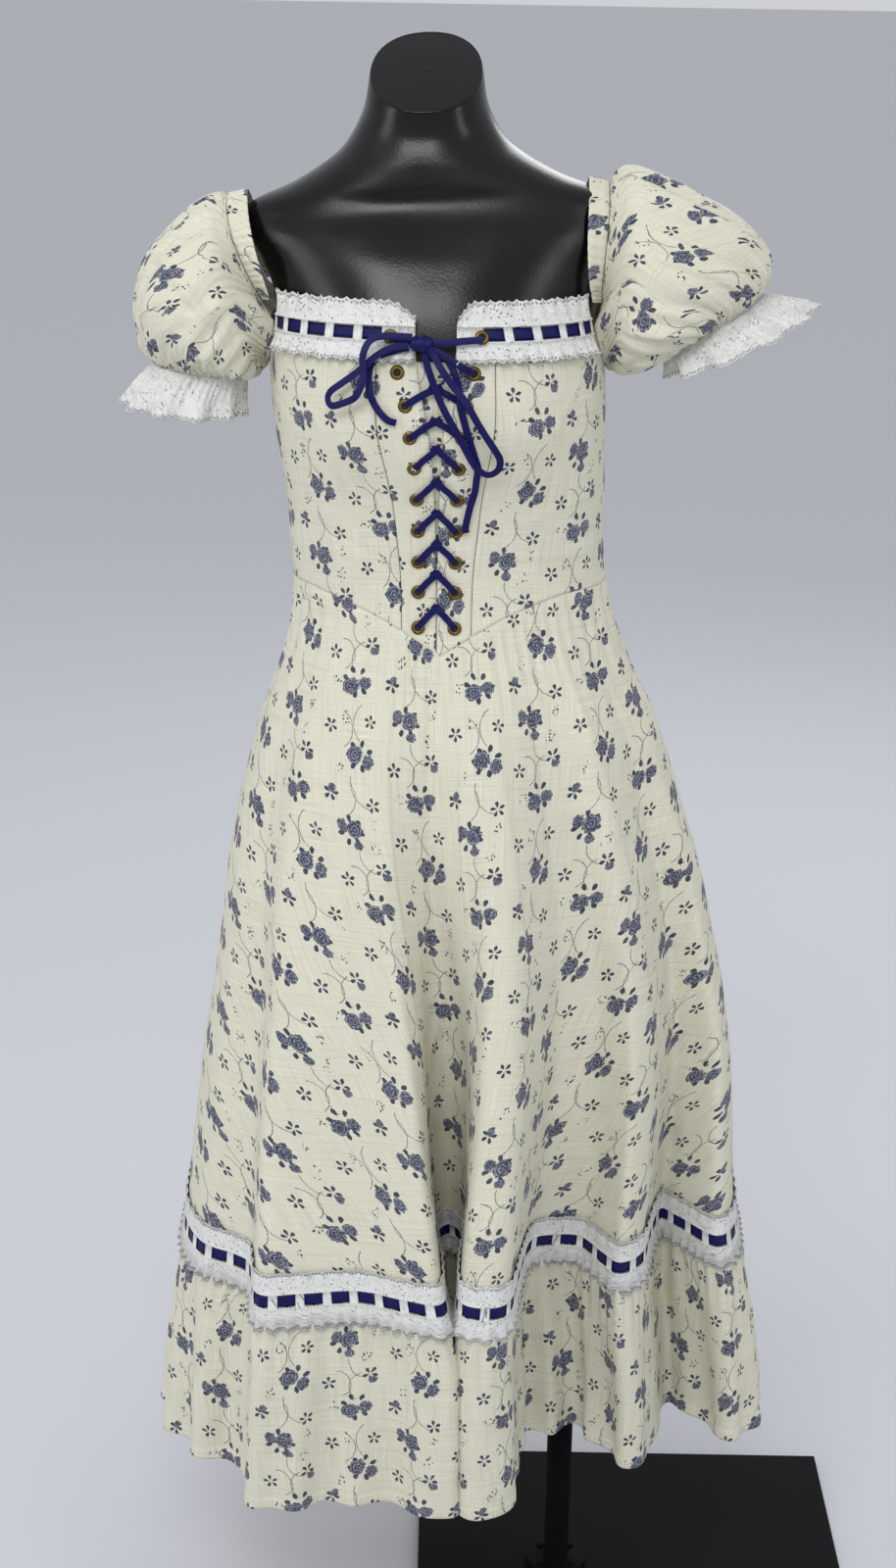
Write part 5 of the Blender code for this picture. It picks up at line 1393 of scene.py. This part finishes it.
bowRoutes = {
    "bow_loop_left": (
        (-0.0215, 1.2640, 0.0124),
        (-0.0335, 1.2620, 0.0118),
        (-0.0450, 1.2560, 0.0120),
        (-0.0563, 1.2450, 0.0120),
        (-0.0690, 1.2335, 0.0120),
        (-0.0785, 1.2245, 0.0120),
        (-0.0800, 1.2180, 0.0125),
        (-0.0755, 1.2140, 0.0135),
        (-0.0677, 1.2165, 0.0150),
        (-0.0587, 1.2226, 0.0165),
        (-0.0547, 1.2376, 0.0175),
        (-0.0550, 1.2540, 0.0180),
        (-0.0500, 1.2660, 0.0175),
        (-0.0400, 1.2700, 0.0165),
        (-0.0183, 1.2700, 0.0150),
    ),
    "bow_loop_right": (
        (-0.0050, 1.2618, 0.0150),
        (-0.0010, 1.2560, 0.0150),
        (0.0050, 1.2460, 0.0160),
        (0.0138, 1.2343, 0.0165),
        (0.0247, 1.2210, 0.0170),
        (0.0350, 1.2040, 0.0170),
        (0.0463, 1.1860, 0.0165),
        (0.0496, 1.1773, 0.0155),
        (0.0480, 1.1690, 0.0140),
        (0.0410, 1.1640, 0.0125),
        (0.0333, 1.1684, 0.0110),
        (0.0260, 1.1810, 0.0105),
        (0.0170, 1.1980, 0.0105),
        (0.0070, 1.2150, 0.0105),
        (-0.0010, 1.2330, 0.0105),
        (-0.0070, 1.2500, 0.0105),
        (-0.0085, 1.2583, 0.0118),
    ),
    "bow_tail_left": (
        (-0.0216, 1.2628, 0.0080),
        (-0.0330, 1.2600, 0.0070),
        (-0.0437, 1.2560, 0.0070),
        (-0.0514, 1.2476, 0.0070),
        (-0.0530, 1.2364, 0.0060),
        (-0.0514, 1.2243, 0.0052),
        (-0.0458, 1.2130, 0.0046),
        (-0.0385, 1.2050, 0.0042),
        (-0.0320, 1.2026, 0.0040),
    ),
    "bow_tail_right": (
        (0.0020, 1.2590, 0.0080),
        (0.0095, 1.2540, 0.0072),
        (0.0155, 1.2430, 0.0066),
        (0.0185, 1.2325, 0.0062),
        (0.0203, 1.2165, 0.0060),
        (0.0247, 1.2000, 0.0058),
        (0.0312, 1.1770, 0.0056),
        (0.0339, 1.1660, 0.0056),
        (0.0328, 1.1550, 0.0054),
        (0.0312, 1.1427, 0.0052),
        (0.0270, 1.1270, 0.0050),
        (0.0241, 1.1116, 0.0048),
        (0.0248, 1.1060, 0.0046),
    ),
}
knotShape = {
    "topRun": (
        (-0.0370, 1.2690, 0.0084),
        (-0.0260, 1.2680, 0.0094),
        (-0.0115, 1.2665, 0.0105),
        (0.0080, 1.2665, 0.0104),
        (0.0230, 1.2680, 0.0094),
        (0.0370, 1.2690, 0.0084),
    ),
    "secondRun": (
        (0.0315, 1.2430, 0.0042),
        (0.0240, 1.2465, 0.0078),
        (0.0100, 1.2550, 0.0085),
        (-0.0070, 1.2640, 0.0100),
    ),
    "place": (-0.0115, 1.2655, 0.0110),
    "size": (0.020, 0.013, 0.011),
}


def buildBow(satin):
    width = eyeletShape["ribbon"]
    for name, rows in bowRoutes.items():
        grid, points = routeGrid(rows, width, 0.0003)
        faces = gridFaces(*grid.shape[:2])
        uv = clothLengths(grid).reshape(-1, 2)
        item = addPiece(f"{name}_satin", grid.reshape(-1, 3), faces, uv, satin)
        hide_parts(name)


def buildKnot(satin):
    x, z, out = knotShape["place"]
    centre = frontPoint(x, z, out)
    normal = Vector(bodiceNormal(frontAngle(x, z), z))
    turn = np.array(normal.to_track_quat("Z", "Y").to_matrix())
    sx, sy, sz = knotShape["size"]
    rows = []
    for u in np.linspace(-1, 1, 25):
        ring = []
        girth = math.sqrt(max(1 - u**4, 0.02))
        for t in np.arange(48) * 2 * math.pi / 48:
            # two wraps of ribbon pulled over one another, with a pinched waist between
            fold = 1 + 0.09 * math.sin(3 * u * 3 + 0.8 * math.sin(t)) + 0.05 * math.sin(2 * t + 5 * u)
            ring.append(
                (u * sx / 2, math.cos(t) * sy / 2 * girth * fold, math.sin(t) * sz / 2 * girth * fold)
            )
        rows.append(ring)
    points = np.array(rows).reshape(-1, 3) @ turn.T + centre
    faces = gridFaces(25, 48, True)
    faces += [tuple(range(48)), tuple(range(25 * 48 - 1, 24 * 48 - 1, -1))]
    uvs = list(points[:, [0, 2]])
    points = list(points)
    for rows in (knotShape["topRun"], knotShape["secondRun"]):
        grid, _ = routeGrid(rows, eyeletShape["ribbon"], 0.0003)
        start = len(points)
        faces += gridFaces(*grid.shape[:2], False, start)
        points += list(grid.reshape(-1, 3))
        uvs += list(clothLengths(grid).reshape(-1, 2))
    item = addPiece("bow_knot_satin", points, faces, uvs, satin)
    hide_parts("bow_knot")


sleeveShape = {
    "columns": 264,  # a multiple of 4
    "ruffleColumns": 396,
    # along the casing's inner edge from front to back: x, y, height, and the run of its width in x and y
    "left": (
        (-0.2825, -0.0440, 1.2910, -0.0080, 0.0140),
        (-0.2885, -0.0500, 1.3120, -0.0120, 0.0100),
        (-0.2955, -0.0465, 1.3380, -0.0160, 0.0050),
        (-0.3010, -0.0310, 1.3620, -0.0175, 0.0010),
        (-0.3035, 0.0000, 1.3780, -0.0175, 0.0000),
        (-0.3010, 0.0330, 1.3640, -0.0175, -0.0010),
        (-0.2955, 0.0480, 1.3420, -0.0160, -0.0050),
        (-0.2885, 0.0510, 1.3200, -0.0120, -0.0100),
        (-0.2825, 0.0450, 1.3010, -0.0080, -0.0140),
    ),
    "right": (
        (-0.0080, -0.0440, 1.2930, 0.0080, 0.0140),
        (-0.0125, -0.0510, 1.3140, 0.0120, 0.0100),
        (-0.0145, -0.0480, 1.3430, 0.0160, 0.0050),
        (-0.0140, -0.0350, 1.3715, 0.0175, 0.0010),
        (-0.0130, 0.0000, 1.3930, 0.0175, 0.0000),
        (-0.0130, 0.0360, 1.3780, 0.0175, -0.0010),
        (-0.0125, 0.0500, 1.3520, 0.0160, -0.0050),
        (-0.0110, 0.0520, 1.3260, 0.0120, -0.0100),
        (-0.0075, 0.0450, 1.3020, 0.0080, -0.0140),
    ),
    # x and height of the outermost point, x and height of the innermost point, half depth
    "leftRings": (
        (-0.338, 1.3700, -0.2935, 1.2260, 0.064),
        (-0.365, 1.3480, -0.2960, 1.2225, 0.074),
        (-0.388, 1.3190, -0.2985, 1.2210, 0.077),
        (-0.398, 1.2880, -0.3005, 1.2205, 0.073),
        (-0.397, 1.2560, -0.3020, 1.2210, 0.060),
        (-0.387, 1.2310, -0.3040, 1.2215, 0.046),
    ),
    "rightRings": (
        (0.020, 1.4010, 0.0135, 1.2320, 0.064),
        (0.055, 1.3900, 0.0180, 1.2300, 0.074),
        (0.090, 1.3720, 0.0270, 1.2300, 0.077),
        (0.121, 1.3530, 0.0370, 1.2330, 0.073),
        (0.143, 1.3260, 0.0480, 1.2400, 0.060),
        (0.139, 1.2980, 0.0580, 1.2510, 0.046),
    ),
    # the same, and the height of the waves
    "leftRuffle": (
        (-0.387, 1.2304, -0.3043, 1.2209, 0.0458, 0.0000),
        (-0.402, 1.2130, -0.3070, 1.2050, 0.0550, 0.0025),
        (-0.414, 1.1950, -0.3080, 1.1860, 0.0640, 0.0060),
    ),
    "rightRuffle": (
        (0.1396, 1.2974, 0.0584, 1.2502, 0.0458, 0.0000),
        (0.164, 1.2930, 0.0590, 1.2390, 0.0590, 0.0025),
        (0.187, 1.2880, 0.0610, 1.2260, 0.0720, 0.0060),
    ),
    # creases: from share round and down to the same, width, mm out
    "leftCreases": (
        (0.02, 0.45, 0.30, 0.38, 0.035, 4.5),
        (0.05, 0.95, 0.16, 0.50, 0.020, 3.2),
        (0.16, 0.98, 0.24, 0.48, 0.018, -3.0),
        (0.22, 0.96, 0.30, 0.60, 0.018, 3.0),
        (0.28, 0.10, 0.22, 0.55, 0.020, 2.6),
        (0.12, 0.06, 0.10, 0.40, 0.020, -2.4),
        (0.36, 0.95, 0.40, 0.40, 0.018, 2.4),
        (0.93, 0.30, 0.99, 0.80, 0.020, 2.6),
        (0.62, 0.10, 0.70, 0.80, 0.022, 2.8),
        (0.78, 0.95, 0.82, 0.40, 0.022, -2.6),
    ),
    "rightCreases": (
        (0.06, 0.96, 0.10, 0.20, 0.018, 4.0),
        (0.12, 0.97, 0.16, 0.25, 0.016, -4.2),
        (0.17, 0.97, 0.21, 0.15, 0.016, 4.2),
        (0.23, 0.97, 0.28, 0.22, 0.016, -3.8),
        (0.28, 0.97, 0.34, 0.20, 0.016, 4.0),
        (0.34, 0.96, 0.42, 0.30, 0.018, -4.0),
        (0.98, 0.96, 0.99, 0.35, 0.018, -3.0),
        (0.02, 0.60, 0.06, 0.10, 0.018, 2.6),
        (0.64, 0.95, 0.70, 0.20, 0.020, 3.2),
        (0.80, 0.95, 0.82, 0.30, 0.020, -3.0),
    ),
}


def casingEdges(rows):
    run = smoothRun(rows, 16)
    inner = run[:, :3]
    drop = -0.004 * np.abs(run[:, 3]) / 0.0175
    return inner, inner + np.column_stack([run[:, 3], run[:, 4], drop])


# Along the casing above, and round the armhole below
def armholeRing(side, inner, outer, count):
    quarter = count // 4
    ring = np.zeros((count, 3))
    index = np.arange(-quarter, quarter + 1)
    middle = (len(outer) - 1) / 2
    place = middle - index * middle / quarter
    low = np.clip(np.floor(place).astype(int), 0, len(outer) - 2)
    part = (place - low)[:, None]
    inside = inner[low] * (1 - part) + inner[low + 1] * part
    outside = outer[low] * (1 - part) + outer[low + 1] * part
    ring[index % count] = outside + unit(outside - inside) * 0.0004
    index = np.arange(quarter + 1, 3 * quarter)
    armhole = body["armholeBack"] - body["armholeFront"]
    angle = body["armholeFront"] + armhole * (index - quarter) / (2 * quarter)
    height = neckHeight(angle) - 0.004
    ring[index] = bodicePoint(side * angle, height) + bodiceNormal(side * angle, height) * 0.0008
    return ring


def ellipseRing(row, turn, wave=0.0):
    outer, inner = np.array((row[0], 0.0, row[1])), np.array((row[2], 0.0, row[3]))
    centre, reach = (outer + inner) / 2, (outer - inner) / 2
    grow = (1.0 + np.broadcast_to(wave, turn.shape) / row[4])[:, None]
    sideways = np.column_stack([0 * turn, -row[4] * np.sin(turn), 0 * turn])
    return centre + (reach * np.cos(turn)[:, None] + sideways) * grow


# Outward normals of a tube, and whether its columns must be turned round
def tubeNormals(grid):
    normals = gridNormals(grid, True)
    centres = grid.mean(axis=1, keepdims=True)
    return (normals, False) if (normals * (grid - centres)).sum() > 0 else (-normals, True)


def buildSleeve(name, side, cloth, lace):
    inner, outer = casingEdges(sleeveShape[name])
    count = sleeveShape["columns"]
    turn = 2 * math.pi * np.arange(count) / count
    rings = [armholeRing(side, inner, outer, count)]
    rings += [ellipseRing(row, turn) for row in sleeveShape[f"{name}Rings"]]
    steps = 9
    grid = smoothRun(np.array(rings).reshape(len(rings), -1), steps).reshape(-1, count, 3)
    down = np.linspace(0, 1, len(grid))[:, None]
    around = np.broadcast_to((turn / (2 * math.pi))[None], grid.shape[:2])
    normals, flip = tubeNormals(grid)
    rise = 1 - np.exp(-((down / 0.04) ** 2))
    fall = 1 - np.exp(-(((1 - down) / 0.03) ** 2))
    topWave = np.sin(52 * turn + 2.2 * np.sin(5 * turn) + side)[None]
    cuffWave = np.sin(47 * turn + 2.6 * np.sin(4 * turn + 1))[None]
    longWave = np.sin(19 * turn + 1.9 * np.sin(3 * turn) + side * 2)[None]
    # heights in mm
    topGathers = topWave * np.exp(-((down / 0.20) ** 2)) * 1.7
    cuffGathers = cuffWave * np.exp(-(((1 - down) / 0.26) ** 2)) * 2.0
    longFolds = longWave * np.sin(math.pi * down) * 1.3
    puff = 3.0 * np.sin(math.pi * down) ** 0.7 - 2.0 * np.exp(-(((1 - down) / 0.05) ** 2))
    creases = creaseField(around, down + 0 * around, sleeveShape[f"{name}Creases"])
    field = topGathers + cuffGathers + longFolds + puff + creases
    field = field + 1.6 * unevenness(grid, 0.028, 9.0 + side)
    grid = grid + normals * (0.001 * field * rise * fall)[..., None]
    if flip:
        grid = grid[:, ::-1]
    closedGrid = np.concatenate([grid, grid[:, :1]], axis=1)
    uv = clothLengths(closedGrid, 0.05 * side, 0.02)
    item = addCloth(f"sleeve_{name}_cloth", closedGrid, uv, cloth, clothWall["sleeve"])
    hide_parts(f"sleeve_{name}")
    declareCloth(closedGrid)

    lines = []
    along = np.linspace(0, 1, len(inner))
    fine = np.interp(np.linspace(0, 1, 330), along, np.arange(len(inner)))
    low = np.clip(fine.astype(int), 0, len(inner) - 2)
    part = (fine - low)[:, None]
    insideRun = inner[low] * (1 - part) + inner[low + 1] * part
    outsideRun = outer[low] * (1 - part) + outer[low + 1] * part
    for share in np.linspace(0, 1, 11):
        lines.append(insideRun + (outsideRun - insideRun) * share)
    grid = np.array(lines)
    normals = gridNormals(grid)
    away = grid - np.array((float(inner[:, 0].mean()), 0.0, 1.30))
    if (normals * away).sum() < 0:
        grid, normals = grid[:, ::-1], -normals[:, ::-1]
    share = np.linspace(0, 1, 11)[:, None]
    number = np.arange(grid.shape[1])[None]
    ruck = np.sin(number * 0.62 + 1.4 * np.sin(number * 0.11) + share * 0.7)
    channels = 0.5 * np.abs(np.sin(2 * math.pi * share))
    bulge = (0.5 * ruck + channels) * np.sin(math.pi * share) ** 0.35
    grid = grid + normals * (0.001 * bulge)[..., None]
    uv = clothLengths(grid, 0.02, 0.01)
    item = addCloth(f"casing_{name}_cloth", grid, uv, cloth, clothWall["sleeve"])
    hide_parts(f"casing_{name}")

    count = sleeveShape["ruffleColumns"]
    turn = 2 * math.pi * np.arange(count) / count
    rows = smoothRun(sleeveShape[f"{name}Ruffle"], 13)
    share = np.linspace(0, 1, len(rows))
    lines = []
    for row, down in zip(rows, share):
        small = 0.0010 * math.sin(math.pi * min(down * 1.4, 1)) * np.sin(44 * turn + 2 * np.sin(3 * turn))
        wave = max(row[5], 0.0) * np.sin(11 * turn + 0.5 * np.sin(2 * turn)) + small
        lines.append(ellipseRing(row, turn, wave))
    grid = np.array(lines)
    scallop = np.abs(np.sin(33 * turn))[:, None]
    grid[-1] += (grid[-1] - grid[-3]) * (0.9 * scallop - 0.3)
    grid[-2] += (grid[-2] - grid[-4]) * (0.25 * scallop - 0.1)
    normals, flip = tubeNormals(grid)
    if flip:
        grid = grid[:, ::-1]
    closedGrid = np.concatenate([grid, grid[:, :1]], axis=1)
    uv = clothLengths(closedGrid)
    uv[..., 1] -= uv[-1:, :, 1]
    item = addCloth(f"cuff_ruffle_{name}_lace", closedGrid, uv, lace, clothWall["cuff"])
    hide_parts(f"cuff_ruffle_{name}")
    declareCloth(closedGrid)


makeCamera()
makeLight()
linen, cotton, satin = makePrintedLinen(), makeCottonLace(), makeSatinRibbon()
brass, shell, steel = makeBrass(), makeShell(), makeSteel()
holeShade = newMaterial("shaded_hole", Roughness=0.9, Base_Color=linear(eyeletShape["holeShade"]))[0]
print("materials made")
buildBow(satin)
buildKnot(satin)
print("bow made")
buildFloor()
buildStand(steel)
buildForm(shell)
print("form made")
buildSkirt(linen)
buildFlounce(linen)
print("skirt made")
buildBodice(linen)
buildHemLace(cotton, satin)
buildNeckLace(cotton, satin)
print("lace made")
buildEyelets(brass, holeShade)
buildLacing(satin)
for name, side in (("left", -1), ("right", 1)):
    buildSleeve(name, side, linen, cotton)
print("sleeves made")
